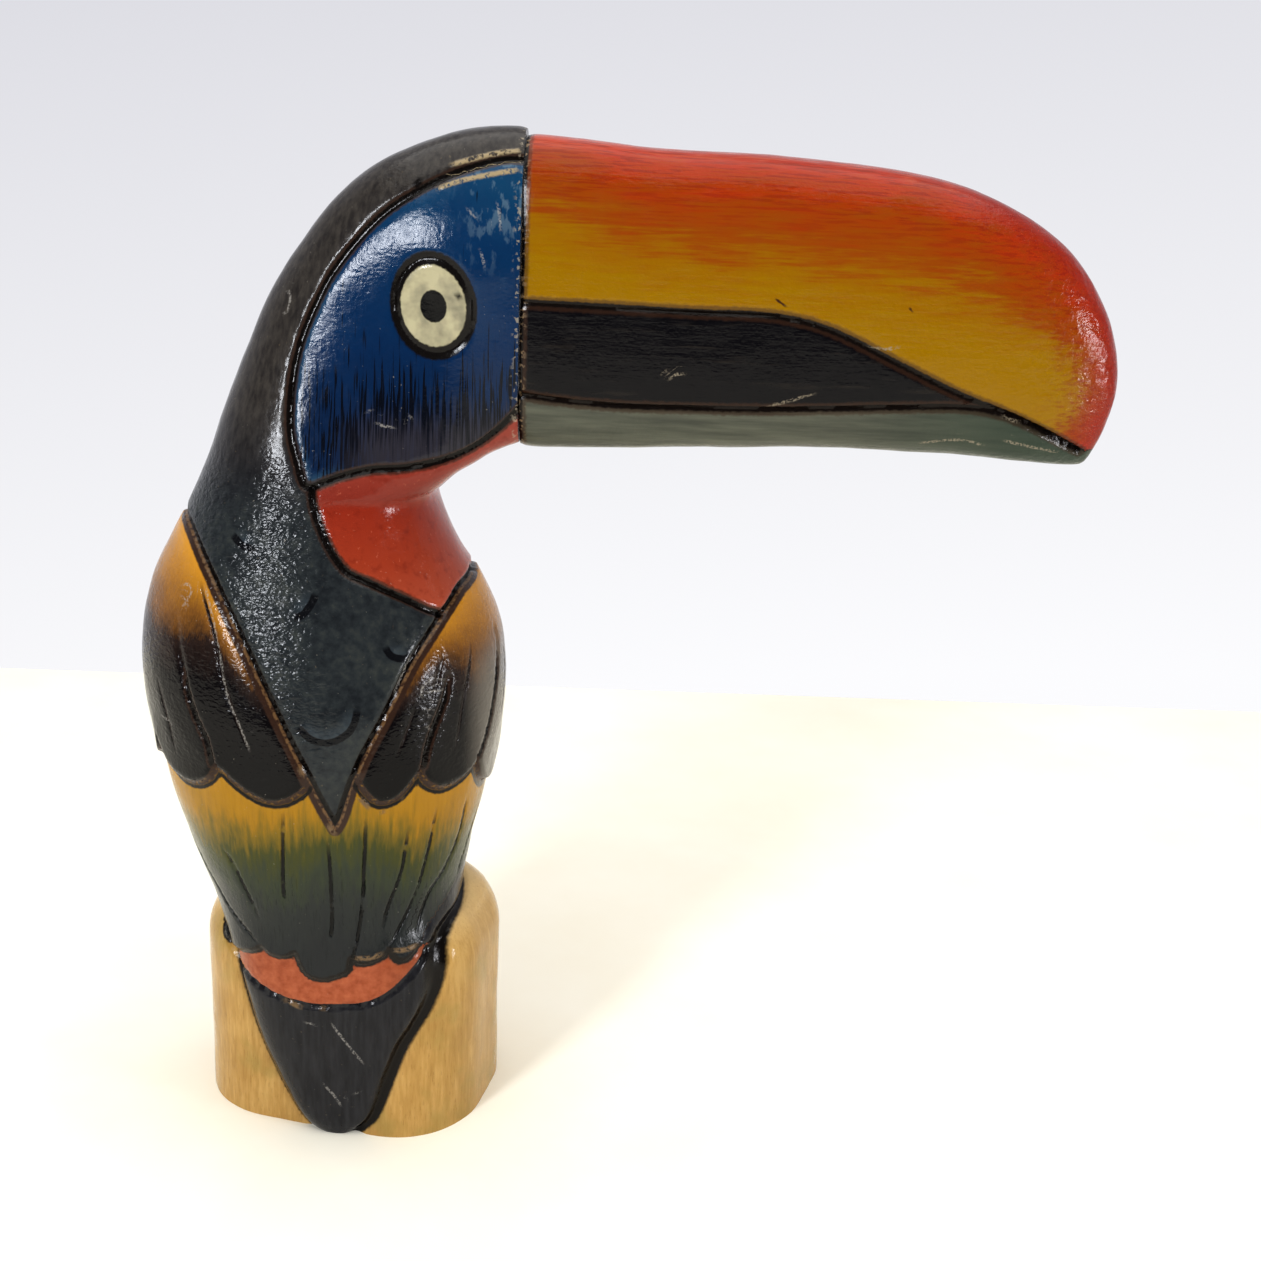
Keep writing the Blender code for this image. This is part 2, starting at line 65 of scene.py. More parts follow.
class Layer:
    """A shader socket, on which sums are written as Python sums."""

    def __init__(self, tree, socket=None):
        self.tree = tree
        self.socket = socket

    def node(self, kind, settings=None, sockets=None, output=0):
        """Add a node: its settings first, then the values or links of its sockets."""
        made = self.tree.nodes.new("ShaderNode" + kind)
        for name, value in (settings or {}).items():
            if name == "stops":
                self.set_stops(made.color_ramp, value)
            else:
                setattr(made, name, value)
        for name, value in (sockets or {}).items():
            if isinstance(value, Layer):
                self.tree.links.new(value.socket, made.inputs[name])
            else:
                made.inputs[name].default_value = value
        return Layer(self.tree, made.outputs[output])

    def set_stops(self, ramp, stops):
        """Give a colour ramp its stops, as (place, colour)."""
        while len(ramp.elements) < len(stops):
            ramp.elements.new(0.5)
        for element, (place, colour) in zip(ramp.elements, stops):
            element.position = place
            element.color = colour

    def sum(self, operation, first, second):
        return self.node("Math", {"operation": operation}, {0: first, 1: second})

    def __add__(self, other):
        return self.sum("ADD", self, other)

    __radd__ = __add__

    def __sub__(self, other):
        return self.sum("SUBTRACT", self, other)

    def __rsub__(self, other):
        return self.sum("SUBTRACT", other, self)

    def __mul__(self, other):
        return self.sum("MULTIPLY", self, other)

    __rmul__ = __mul__

    def __abs__(self):
        return self.sum("ABSOLUTE", self, 0.0)

    def least(self, other):
        return self.sum("MINIMUM", self, other)

    def rise(self, low, high, bottom=0.0, top=1.0):
        """Goes smoothly from bottom to top as this value goes from low to high."""
        return self.node("MapRange", {"interpolation_type": "SMOOTHSTEP"},
                         {"Value": self, "From Min": low, "From Max": high,
                          "To Min": bottom, "To Max": top})

    def ramp(self, low, high, stops):
        """Colours along this value, which goes from low to high."""
        share = self.node("MapRange", {}, {"Value": self, "From Min": low, "From Max": high})
        return self.node("ValToRGB", {"stops": stops}, {"Fac": share})

    def under(self, colour, cover):
        """This colour with another over it, as far as cover goes from 0 to 1."""
        return self.node("Mix", {"data_type": "RGBA"}, {0: cover, 6: self, 7: colour}, output=2)

    def grain(self, scale, detail=3.0, stretch=(1.0, 1.0, 1.0), roughness=0.55):
        """Noise between 0 and 1, on this place in mm, about 1/scale mm wide."""
        place = self.node("VectorMath", {"operation": "MULTIPLY"}, {0: self, 1: stretch})
        return self.node("TexNoise", {}, {"Vector": place, "Scale": scale, "Detail": detail,
                                          "Roughness": roughness})


def new_material(name):
    """A material with a plain surface: its start for layers, and its surface's sockets."""
    material = bpy.data.materials.new(name)
    material.use_nodes = True
    start = Layer(material.node_tree)
    surface = material.node_tree.nodes["Principled BSDF"]
    return material, start, surface


def feed(surface, name, layer):
    """Link a layer to a socket of a surface."""
    layer.tree.links.new(layer.socket, surface.inputs[name])


def place_in_mm(start):
    """The place on the object, in mm."""
    inner = start.node("TexCoord", output=3)
    return start.node("VectorMath", {"operation": "SCALE"}, {0: inner, "Scale": 1000.0})


table_mesh = bpy.data.meshes.new("table_top")
table_mesh.from_pydata([(-3.0, TABLE_NEAR, 0), (3.0, TABLE_NEAR, 0),
                        (*TABLE_FAR_EDGE[1], 0), (*TABLE_FAR_EDGE[0], 0)], [], [(0, 1, 2, 3)])
table_top = bpy.data.objects.new("table_top", table_mesh)
bpy.context.scene.collection.objects.link(table_top)
table_material, start, surface = new_material("table_paper")
fibre = place_in_mm(start).grain(0.02, 4.0)
feed(surface, "Base Color", fibre.ramp(0.3, 0.7, [
    (0.0, tint(250, 244, 226)), (1.0, tint(253, 249, 234))]))
surface.inputs["Roughness"].default_value = 0.7
surface.inputs["Specular IOR Level"].default_value = 0.3
table_mesh.materials.append(table_material)

world = bpy.data.worlds.new("pale_room")
bpy.context.scene.world = world
world.use_nodes = True
start = Layer(world.node_tree)
direction = start.node("TexCoord")
across, ahead, up = (start.node("SeparateXYZ", {}, {0: direction}, output=index) for index in range(3))
wall = (up - across * 0.12).ramp(-0.36, 0.08, [(0.0, tint(233, 233, 235)), (1.0, tint(203, 203, 209))])
room = wall.under(tint(*ROOM_TONE), ahead.rise(0.35, -0.35))
backdrop = world.node_tree.nodes["Background"]
feed(backdrop, "Color", room)


def window(name, place, aim, width, height, power, colour):
    """A soft rectangular light at a place, turned to what it shines on."""
    data = bpy.data.lights.new(name, "AREA")
    data.shape = "RECTANGLE"
    data.size = width
    data.size_y = height
    data.energy = power
    data.color = colour[:3]
    light = bpy.data.objects.new(name, data)
    light.location = place
    light.rotation_euler = (Vector(aim) - Vector(place)).to_track_quat("-Z", "Y").to_euler()
    bpy.context.scene.collection.objects.link(light)


window("left_window", (-0.58, -0.96, 0.58), (0, 0, 0.15), 0.2, 0.32, 8.8, tint(246, 249, 255))
window("right_window", (1.0, -0.46, 0.2), (0, 0, 0.15), 0.15, 0.26, 4.2, tint(250, 250, 255))
window("ceiling", (0.05, -0.1, 1.2), (0.05, 0, 0), 1.5, 1.3, 12.0, tint(255, 253, 248))

camera_data = bpy.data.cameras.new("camera")
camera_data.lens = CAMERA_LENS
camera_data.sensor_width = 36.0
camera_data.clip_start = 0.01
camera = bpy.data.objects.new("camera", camera_data)
camera.matrix_world = (Matrix.Translation(CAMERA_PLACE)
                       @ Matrix.Rotation(math.radians(90 - CAMERA_PITCH), 4, "X")
                       @ Matrix.Rotation(math.radians(CAMERA_ROLL), 4, "Z"))
bpy.context.scene.collection.objects.link(camera)
bpy.context.scene.camera = camera
bpy.context.scene.view_settings.view_transform = "Standard"
bpy.context.scene.view_settings.look = "Medium High Contrast"


# The bird and its perch
#
# One block of pale wood, carved into a bird with folded wings that looks over its right
# wing, its tail down the back of a round-cornered perch. The outlines were cut and burnt,
# the areas painted with a brush, and all of it varnished. Sizes here are in mm.

MM = 0.001
SEAM = 40.6
SEAM_CHAMFER = 0.8
HEAD_MIDDLE = 4.0
HEAD_HALF = 15.75
BLOCK = (73.6, 56.0, 60.5)
BLOCK_CORNER = 22.0
BLOCK_TOP = 15.5
BLOCK_TURN = -13.0
VOXEL = 0.92
SPARE = 3.0
REACH = 9.0
TRUNK_LINE = np.array([-7.0, 1.0])


def tail_rib(left, right, height, proud, half_depth, left_square, right_square):
    """A level rib of the tail, standing proud of the block's back face."""
    middle = half_depth - BLOCK[1] / 2 - proud
    return (left, height, right, height, middle, half_depth, left_square, right_square)


def trunk_rib(left, right, middle, half_depth, right_square=2.1):
    """A rib of the trunk between two points (x, z)."""
    return (*left, *right, middle, half_depth, 2.1, right_square)


def head_rib(nape, throat, swell):
    """A rib of the head, as thick as the seam times swell."""
    return (*nape, *throat, HEAD_MIDDLE, HEAD_HALF * swell, 2.4, 3.0)


BIRD_RIBS = [
    tail_rib(-4.0, 4.5, -2.0, 1.5, 5.0, 2.2, 2.4),
    tail_rib(-8.7, 8.6, 1.5, 3.0, 7.0, 2.4, 3.0),
    tail_rib(-11.6, 11.8, 5.5, 4.0, 8.5, 2.6, 3.5),
    tail_rib(-15.6, 15.0, 13.0, 4.5, 10.0, 2.6, 3.7),
    tail_rib(-20.8, 19.0, 25.0, 5.5, 12.0, 2.5, 3.5),
    tail_rib(-24.6, 25.3, 37.0, 6.2, 15.7, 2.4, 3.0),
    tail_rib(-28.6, 29.2, 48.0, 6.7, 21.7, 2.3, 2.6),
    trunk_rib((-34.2, 60.0), (28.4, 60.0), -6.0, 29.0),
    trunk_rib((-39.6, 72.0), (30.2, 72.0), -2.0, 34.0),
    trunk_rib((-44.3, 85.0), (33.4, 85.0), 0.0, 37.5),
    trunk_rib((-48.8, 100.0), (36.6, 100.0), 1.0, 39.5),
    trunk_rib((-51.6, 115.0), (37.9, 115.0), 2.0, 40.0),
    trunk_rib((-51.4, 128.0), (36.6, 128.0), 2.5, 38.0),
    trunk_rib((-48.5, 141.0), (32.2, 139.0), 3.0, 34.5),
    trunk_rib((-43.9, 150.5), (26.6, 147.5), 3.0, 31.0),
    trunk_rib((-39.4, 159.5), (22.5, 156.0), 3.5, 28.0, 2.2),
    trunk_rib((-34.9, 170.0), (20.8, 163.2), 4.0, 25.0, 2.4),
    head_rib((-31.0, 180.5), (25.4, 168.6), 1.42),
    head_rib((-27.2, 190.9), (30.4, 171.6), 1.28),
    head_rib((-22.9, 201.0), (34.2, 174.0), 1.17),
    head_rib((-17.9, 211.5), (37.0, 175.2), 1.10),
    head_rib((-11.4, 222.0), (39.0, 176.0), 1.05),
    head_rib((-3.4, 232.0), (40.2, 176.2), 1.02),
    head_rib((6.6, 240.5), (40.8, 176.2), 1.0),
    head_rib((19.6, 246.3), (41.4, 176.2), 1.0),
    head_rib((31.0, 249.2), (42.0, 176.2), 1.0),
    head_rib((44.0, 249.8), (44.0, 176.2), 1.0),
]

# Lines on the trunk, as (angle from the middle of the back, height)
MANTLE_TIP = (12.4, 89.6)
LEFT_MANTLE_EDGE = [MANTLE_TIP, (6.7, 97.6), (0.9, 106.5), (-10.4, 121.7), (-23.0, 134.5),
                    (-38.3, 145.5), (-54.6, 152.7), (-70.0, 156.2), (-88.0, 157.0)]
RIGHT_MANTLE_EDGE = [MANTLE_TIP, (14.5, 92.8), (16.4, 97.3), (19.4, 103.5), (23.4, 109.8),
                     (32.5, 120.6), (39.5, 127.8), (47.0, 132.9), (58.3, 138.2), (70.6, 141.7),
                     (79.4, 142.7), (94.6, 143.2)]
LEFT_WING_FRONT = [(-88.0, 157.0), (-108.0, 153.0), (-122.0, 141.0), (-129.0, 122.0), (-127.0, 101.0)]
RIGHT_WING_FRONT = [(94.6, 143.2), (113.0, 142.0), (125.0, 136.0), (131.0, 120.0), (129.0, 99.0)]
LEFT_COVERTS = [
    [(-127.0, 101.0), (-123.0, 97.0), (-111.0, 94.3), (-99.0, 96.5), (-94.0, 101.0)],
    [(-94.0, 101.0), (-91.0, 98.0), (-79.0, 95.5), (-67.0, 98.5), (-62.0, 104.0)],
    [(-62.0, 104.0), (-59.5, 101.5), (-55.8, 98.7), (-49.5, 97.2), (-43.8, 97.0), (-38.4, 98.0),
     (-33.3, 100.4), (-30.7, 103.7)],
    [(-30.7, 103.7), (-26.8, 102.6), (-22.8, 100.6), (-17.3, 98.3), (-11.8, 96.9), (-6.5, 97.0),
     (-1.9, 98.6), (1.3, 100.5), (2.9, 102.8)],
]
RIGHT_COVERTS = [
    [(19.4, 104.0), (21.5, 101.5), (23.8, 98.9), (26.9, 96.8), (30.1, 96.5), (33.4, 97.4),
     (36.6, 99.5), (39.0, 101.7), (42.1, 104.0)],
    [(42.1, 104.0), (42.8, 101.8), (44.6, 99.5), (49.5, 97.3), (54.5, 97.0), (59.7, 97.7),
     (63.8, 99.0), (66.5, 101.5)],
    [(66.5, 101.5), (69.0, 97.0), (73.0, 93.5), (80.0, 91.0), (88.0, 91.5), (95.0, 95.0), (99.0, 98.5)],
    [(99.0, 98.5), (103.0, 94.0), (114.0, 91.5), (124.0, 94.5), (129.0, 99.0)],
]
WING_TIPS = [
    [(-58.0, 54.0), (-52.9, 49.6), (-48.4, 48.6), (-38.9, 49.1), (-26.7, 51.2), (-22.4, 52.3),
     (-19.2, 53.8)],
    [(-19.2, 53.8), (-16.3, 52.6), (-12.2, 52.2), (-7.7, 52.7), (-4.0, 54.2)],
    [(-4.0, 54.2), (-2.5, 51.1), (-0.6, 49.0), (2.4, 47.6), (7.3, 47.2), (12.1, 48.2), (16.4, 49.9),
     (17.8, 53.6)],
    [(17.8, 53.6), (20.4, 52.0), (24.8, 52.3), (29.3, 53.6), (31.2, 55.2)],
    [(31.2, 55.2), (33.8, 52.3), (36.6, 52.0), (39.0, 52.8), (42.0, 54.6)],
]
LEFT_FLIGHT_EDGE = [(-127.0, 101.0), (-118.0, 96.0), (-104.0, 84.0), (-90.0, 72.0), (-74.0, 61.5),
                    (-66.0, 57.0), (-58.0, 54.0)]
RIGHT_FLIGHT_EDGE = [(129.0, 99.0), (120.0, 92.0), (110.0, 84.0), (98.0, 76.0), (84.0, 70.5),
                     (72.0, 67.0), (64.5, 64.5), (58.4, 62.3), (52.6, 60.4), (47.4, 58.3), (42.0, 54.6)]
RUMP_EDGE = [(-56.0, 52.0), (-48.5, 48.0), (-40.0, 45.0), (-31.0, 43.4), (-22.1, 42.0), (-13.9, 40.7),
             (-5.7, 39.9), (1.8, 39.3), (12.1, 39.5), (21.5, 40.3), (26.8, 41.7), (32.1, 44.2),
             (36.3, 47.0), (40.0, 49.4), (43.6, 51.5), (46.0, 53.5)]
BIB_EDGE = [(3.0, 168.6), (4.0, 164.7), (10.6, 157.2), (19.6, 150.6), (30.1, 147.6), (35.6, 146.0),
            (42.4, 143.9), (47.3, 142.1), (52.0, 140.2), (57.6, 138.6)]
COVERT_GROOVES = [
    [(-30.7, 103.7), (-33.1, 109.3), (-37.2, 114.5), (-40.6, 119.6), (-43.7, 124.7), (-48.0, 131.1),
     (-52.1, 137.6)],
    [(42.1, 104.0), (43.6, 108.5), (46.5, 113.5), (50.5, 119.0), (53.5, 124.5)],
    [(66.5, 101.5), (70.4, 105.0), (74.0, 110.2), (78.6, 119.2), (82.8, 125.9), (84.5, 131.0)],
]
COVERT_CUTS = [
    [(-45.4, 145.9), (-33.5, 134.9), (-25.5, 122.6), (-15.7, 107.8)],
    [(-57.2, 120.7), (-51.9, 111.9), (-48.4, 102.8)],
    [(40.4, 119.8), (36.6, 113.5), (32.7, 107.2)],
    [(53.8, 131.0), (49.0, 124.5), (46.1, 119.0)],
    [(66.3, 131.0), (61.0, 122.5), (58.1, 117.9), (54.7, 105.8)],
    [(-80.0, 125.0), (-76.0, 114.0), (-74.0, 105.0)],
    [(92.0, 126.0), (88.0, 116.0), (85.0, 106.0)],
]
FLIGHT_CUTS = [
    [(-92.0, 86.0), (-78.0, 76.0), (-66.0, 66.0)],
    [(-60.4, 76.0), (-46.0, 66.0), (-36.1, 60.2), (-19.8, 54.5)],
    [(-32.3, 80.2), (-28.6, 76.5), (-19.1, 61.7)],
    [(-5.5, 94.5), (-6.3, 86.0), (-7.5, 72.6), (-7.0, 66.0)],
    [(9.8, 86.8), (10.6, 75.0), (10.8, 63.2), (9.4, 55.8)],
    [(22.9, 92.7), (22.6, 80.0), (22.1, 67.0), (19.7, 57.3), (16.5, 49.9)],
    [(38.2, 88.2), (36.8, 76.1), (33.2, 68.6), (29.1, 60.0)],
    [(49.2, 91.5), (46.7, 76.7), (41.8, 65.9), (31.1, 55.4)],
    [(64.6, 90.6), (64.0, 79.0), (58.0, 72.0), (49.6, 66.6), (42.2, 57.5)],
    [(82.0, 84.0), (76.0, 74.0), (68.0, 66.0)],
]
MANTLE_ARCS = [
    [(-3.8, 140.0), (1.0, 141.0), (4.6, 143.6), (6.3, 146.0)],
    [(31.8, 134.0), (33.4, 131.7), (36.8, 130.6), (41.5, 130.5)],
    [(-0.4, 116.2), (5.1, 112.8), (11.1, 112.2), (16.4, 114.0), (19.1, 116.5), (20.6, 120.3)],
    [(-37.6, 157.1), (-30.1, 154.8), (-23.4, 154.5)],
]
SCUFFS_AND_GLINT = [
    [(9.5, 35.1), (13.3, 31.4), (18.0, 26.9), (22.6, 22.5)],
    [(-1.6, 34.5), (4.6, 33.7)],
    [(5.7, 16.5), (10.6, 12.6), (13.9, 9.1)],
    [(18.0, 13.3), (21.6, 14.1)],
    [(-54.2, 143.4), (-50.2, 144.1), (-47.7, 142.7), (-48.8, 140.4), (-50.5, 138.2)],
    [(-52.9, 141.4), (-48.8, 140.4), (-46.8, 139.1)],
    [(-64.7, 120.8), (-62.3, 119.0)],
    [(-56.7, 111.2), (-51.8, 110.9), (-48.0, 109.9)],
    [(43.5, 122.0), (47.3, 122.0), (51.8, 121.8)],
    [(46.8, 124.5), (49.4, 124.5), (52.3, 124.0)],
    [(42.4, 118.5), (47.2, 117.4)],
    [(49.1, 126.2), (46.3, 125.0), (43.5, 123.6), (42.5, 121.5), (43.3, 120.6)],
    [(43.7, 116.8), (44.6, 115.5)],
    [(42.6, 114.3), (45.8, 112.2)],
    # Not a scuff: a painted glint, a thin pale line along the right edge of the mantle where the light catches
    # it
    [(41.5, 131.8), (38.7, 128.9), (36.1, 125.9), (33.0, 122.2)],
    [(-46.0, 211.0), (-38.0, 211.4), (-33.0, 209.5), (-34.0, 207.0), (-42.0, 206.0)],
    [(-42.7, 145.4), (-34.9, 137.9), (-29.2, 129.5), (-24.9, 120.8), (-20.2, 115.2), (-16.4, 108.7)],
]
WORN = [
    [(20.1, 98.3), (22.3, 96.2), (24.4, 94.3)],
    [(27.2, 93.1), (30.1, 93.5)],
    [(34.8, 95.7), (36.1, 96.8)],
    [(0.4, 106.1), (1.9, 103.8)],
    [(9.6, 91.3), (11.6, 88.8), (13.3, 87.9)],
    [(-10.8, 39.4), (-8.1, 40.1), (-5.8, 39.2), (-1.3, 38.4)],
    [(5.0, 38.7), (8.6, 38.8)],
    [(18.3, 53.8), (24.9, 53.8), (29.4, 54.8)],
    [(32.2, 55.2), (36.7, 54.6), (42.6, 55.1)],
]

# Lines on both sides of the head, as (x, height)
FACE_EDGE = [(44.0, 243.4), (36.5, 243.0), (30.9, 241.6), (25.3, 239.6), (17.5, 235.6), (8.5, 229.3),
             (-0.6, 218.9), (-5.6, 210.2), (-9.7, 199.9), (-11.5, 189.8), (-11.4, 181.0),
             (-9.5, 174.0), (-7.2, 168.6), (-2.9, 169.8), (1.6, 171.4), (8.1, 172.8),
             (15.6, 173.1), (23.2, 174.3), (28.8, 176.2), (32.7, 178.5), (36.0, 181.3),
             (39.0, 184.5), (44.0, 190.0)]
BIB_CREASE = 165.2
FACE_SCUFFS = [
    [(28.1, 232.5), (29.8, 230.8), (31.4, 229.6)],
    [(35.0, 234.3), (35.9, 230.8), (36.3, 227.0)],
    [(31.6, 223.9), (32.4, 221.3), (32.9, 219.2)],
    [(5.6, 185.4), (7.9, 186.3)],
    [(7.8, 183.3), (10.5, 182.5), (13.2, 182.1)],
    [(15.3, 185.5), (17.0, 183.9)],
]
FACE_WORN = [
    [(21.0, 235.9), (27.4, 238.2), (33.7, 239.7), (40.1, 241.0)],
    [(24.0, 241.2), (29.3, 242.8), (34.6, 244.2), (40.4, 245.2)],
]
FACE_SMUDGES = [
    [(26.5, 213.9), (27.6, 212.0)],
    [(16.1, 235.6), (17.9, 238.5)],
]
BROW_BULGE = (27.0, 221.0)
BROW_RISE = 2.0
BROW_WIDTH = 9.0
EYE_CENTRE = (21.2, 210.3)
EYE_CREAM = (7.5, 9.3)
EYE_RING = 2.8
EYE_LEAN = 8.0


def smooth_rows(rows, steps):
    """More rows between the given ones, on a Catmull-Rom curve through them."""
    rows = np.array(rows, float)
    padded = np.vstack([2 * rows[0] - rows[1], rows, 2 * rows[-1] - rows[-2]])
    result = []
    for index in range(len(rows) - 1):
        first, second, third, fourth = padded[index:index + 4]
        for t in np.arange(steps) / steps:
            result.append(0.5 * (2 * second + (third - first) * t
                                 + (2 * first - 5 * second + 4 * third - fourth) * t ** 2
                                 + (3 * second - first - 3 * third + fourth) * t ** 3))
    result.append(rows[-1])
    return np.array(result)


def feather_ends(rows):
    """One line along the ends of a row of feathers."""
    return np.vstack([smooth_rows(row, 5) for row in rows])


def rib_ring(rib, count):
    """The closed outline of one rib, as evenly spaced points."""
    left_x, left_z, right_x, right_z, middle, half_depth, left_square, right_square = rib
    turn = np.linspace(0, 2 * math.pi, 1441)
    along, across = np.cos(turn), np.sin(turn)
    power = np.where(along > 0, 2 / right_square, 2 / left_square)
    along = np.sign(along) * np.abs(along) ** power
    across = np.sign(across) * np.abs(across) ** power
    x = (left_x + right_x) / 2 + (right_x - left_x) / 2 * along
    z = (left_z + right_z) / 2 + (right_z - left_z) / 2 * along
    outline = np.stack([x, middle + half_depth * across, z], axis=1)
    passed = np.cumsum(np.linalg.norm(np.diff(outline, axis=0), axis=1))
    passed = np.concatenate([[0], passed])
    wanted = np.arange(count) * passed[-1] / count
    return np.stack([np.interp(wanted, passed, outline[:, axis]) for axis in range(3)], axis=1)


def finish_mesh(name, mesh):
    """An object from a bmesh, with its faces pointing out."""
    bmesh.ops.recalc_face_normals(mesh, faces=mesh.faces)
    data = bpy.data.meshes.new(name)
    mesh.to_mesh(data)
    mesh.free()
    result = bpy.data.objects.new(name, data)
    bpy.context.scene.collection.objects.link(result)
    return result


def loft(name, ribs, steps, count):
    """A closed solid through the ribs' outlines."""
    mesh = bmesh.new()
    rings = [[mesh.verts.new(point) for point in rib_ring(rib, count)]
             for rib in smooth_rows(ribs, steps)]
    for lower, upper in zip(rings, rings[1:]):
        for index in range(count):
            after = (index + 1) % count
            mesh.faces.new((lower[index], lower[after], upper[after], upper[index]))
    mesh.faces.new(reversed(rings[0]))
    mesh.faces.new(rings[-1])
    return finish_mesh(name, mesh)


def perch_block(name):
    """The perch: a block with round corners and a round top, turned under the bird."""
    mesh = bmesh.new()
    bmesh.ops.create_cube(mesh, size=1.0)
    height = BLOCK[2] + SPARE
    bmesh.ops.scale(mesh, vec=(BLOCK[0], BLOCK[1], height), verts=mesh.verts)
    bmesh.ops.translate(mesh, vec=(0, 0, BLOCK[2] - height / 2), verts=mesh.verts)
    upright = [edge for edge in mesh.edges
               if abs(edge.verts[0].co.z - edge.verts[1].co.z) > height / 2]
    bmesh.ops.bevel(mesh, geom=upright, offset=BLOCK_CORNER, segments=16, profile=0.5, affect="EDGES")
    top = [edge for edge in mesh.edges
           if min(vert.co.z for vert in edge.verts) > BLOCK[2] - 0.001]
    bmesh.ops.bevel(mesh, geom=top, offset=BLOCK_TOP, segments=12, profile=0.5, affect="EDGES")
    turn = Matrix.Rotation(math.radians(BLOCK_TURN), 3, "Z")
    bmesh.ops.rotate(mesh, matrix=turn, verts=mesh.verts)
    return finish_mesh(name, mesh)


def replace_with_result(obj):
    """Apply an object's modifiers to its mesh."""
    bpy.context.view_layer.update()
    graph = bpy.context.evaluated_depsgraph_get()
    result = bpy.data.meshes.new_from_object(obj.evaluated_get(graph))
    obj.modifiers.clear()
    obj.data = result


def surface_tree(obj):
    """A search tree of an object's faces."""
    corners = [vert.co.copy() for vert in obj.data.vertices]
    return BVHTree.FromPolygons(corners, [tuple(face.vertices) for face in obj.data.polygons])


def on_trunk(tree, line):
    """The points of a line (angle, height) on the outside of the trunk."""
    points = []
    for angle, height in smooth_rows(line, 6):
        turn = math.radians(angle)
        away = Vector((math.sin(turn), -math.cos(turn), 0))
        start = Vector((*TRUNK_LINE, height)) + away * 200
        points.append(tree.ray_cast(start, -away)[0])
    return np.array([point for point in points if point is not None])


def on_side(tree, line, side):
    """The points of a line (x, height) on the near (-1) or the far (1) side."""
    points = []
    for x, height in line:
        points.append(tree.ray_cast(Vector((x, side * 200, height)), Vector((0, -side, 0)))[0])
    return np.array([point for point in points if point is not None])


def mirrored(line):
    """A line on the other side of the head's middle plane."""
    return line * (1, -1, 1) + (0, 2 * HEAD_MIDDLE, 0)


def distance_to(points, lines, reach=REACH):
    """How far each point is from the nearest of some lines, up to a reach."""
    nearest = np.full(len(points), reach)
    for line in lines:
        for start, stop in zip(line, line[1:]):
            low = np.minimum(start, stop) - reach
            high = np.maximum(start, stop) + reach
            near = np.flatnonzero(np.all((points > low) & (points < high), axis=1))
            along = stop - start
            share = np.clip((points[near] - start) @ along / max(along @ along, 1e-9), 0, 1)
            away = np.linalg.norm(points[near] - start - share[:, None] * along, axis=1)
            nearest[near] = np.minimum(nearest[near], away)
    return nearest


def strokes(points, normals, lines, half_width, taper):
    """Each point's place across the nearest line, and how strong the line is there."""
    nearest = np.full(len(points), REACH)
    across = np.full(len(points), REACH)
    strength = np.zeros(len(points))
    for line in lines:
        lengths = np.linalg.norm(np.diff(line, axis=0), axis=1)
        passed = np.concatenate([[0], np.cumsum(lengths)])
        for index, (start, stop) in enumerate(zip(line, line[1:])):
            low = np.minimum(start, stop) - half_width * 4
            high = np.maximum(start, stop) + half_width * 4
            near = np.flatnonzero(np.all((points > low) & (points < high), axis=1))
            along = stop - start
            share = np.clip((points[near] - start) @ along / max(along @ along, 1e-9), 0, 1)
            offset = points[near] - start - share[:, None] * along
            away = np.linalg.norm(offset, axis=1)
            closer = away < nearest[near]
            near, share, offset, away = near[closer], share[closer], offset[closer], away[closer]
            nearest[near] = away
            sideways = np.cross(along, normals[near])
            across[near] = away * np.sign(np.einsum("ij,ij->i", sideways, offset))
            gone = passed[index] + share * lengths[index]
            ends = np.minimum(gone, passed[-1] - gone) / taper
            strength[near] = np.clip(ends, 0, 1) * (away < half_width * 3.5)
    return across, strength


def is_inside(across, up, loop):
    """Which places (across, up) are inside a closed loop."""
    inside = np.zeros(len(across), bool)
    loop = np.array(loop)
    for (x0, y0), (x1, y1) in zip(loop, np.roll(loop, -1, axis=0)):
        if y0 == y1:
            continue
        crossing = (up < y0) != (up < y1)
        inside ^= crossing & (across < x0 + (up - y0) / (y1 - y0) * (x1 - x0))
    return inside


def signed(inside, away):
    """A distance that counts as positive inside and negative outside."""
    return np.where(inside, away, -away)


def groove(away, width, depth):
    """The height of a round-bottomed groove at a distance from its middle."""
    share = np.clip(np.abs(away) / (width / 2), 0, 1)
    return -depth * (1 - share ** 2) ** 2


def edge_step(away, height, sharpness=0.4, fade=5.0):
    """One side raised and the other sunk beside an edge, fading away from it."""
    return height / 2 * np.tanh(away / sharpness) * np.exp(-np.abs(away) / fade)


def cut_flat(obj, point, away):
    """Cut off what lies beyond a plane, and close the cut."""
    mesh = bmesh.new()
    mesh.from_mesh(obj.data)
    geometry = mesh.verts[:] + mesh.edges[:] + mesh.faces[:]
    bmesh.ops.bisect_plane(mesh, geom=geometry, plane_co=point, plane_no=away, clear_outer=True)
    rim = [edge for edge in mesh.edges if edge.is_boundary]
    bmesh.ops.holes_fill(mesh, edges=rim, sides=0)
    bmesh.ops.triangulate(mesh, faces=[face for face in mesh.faces if len(face.verts) > 4])
    bmesh.ops.recalc_face_normals(mesh, faces=mesh.faces)
    mesh.to_mesh(obj.data)
    mesh.free()


def mesh_points(obj):
    """An object's vertices and their normals."""
    count = len(obj.data.vertices)
    points, normals = np.empty(count * 3), np.empty(count * 3)
    obj.data.vertices.foreach_get("co", points)
    obj.data.vertices.foreach_get("normal", normals)
    return points.reshape(-1, 3), normals.reshape(-1, 3)


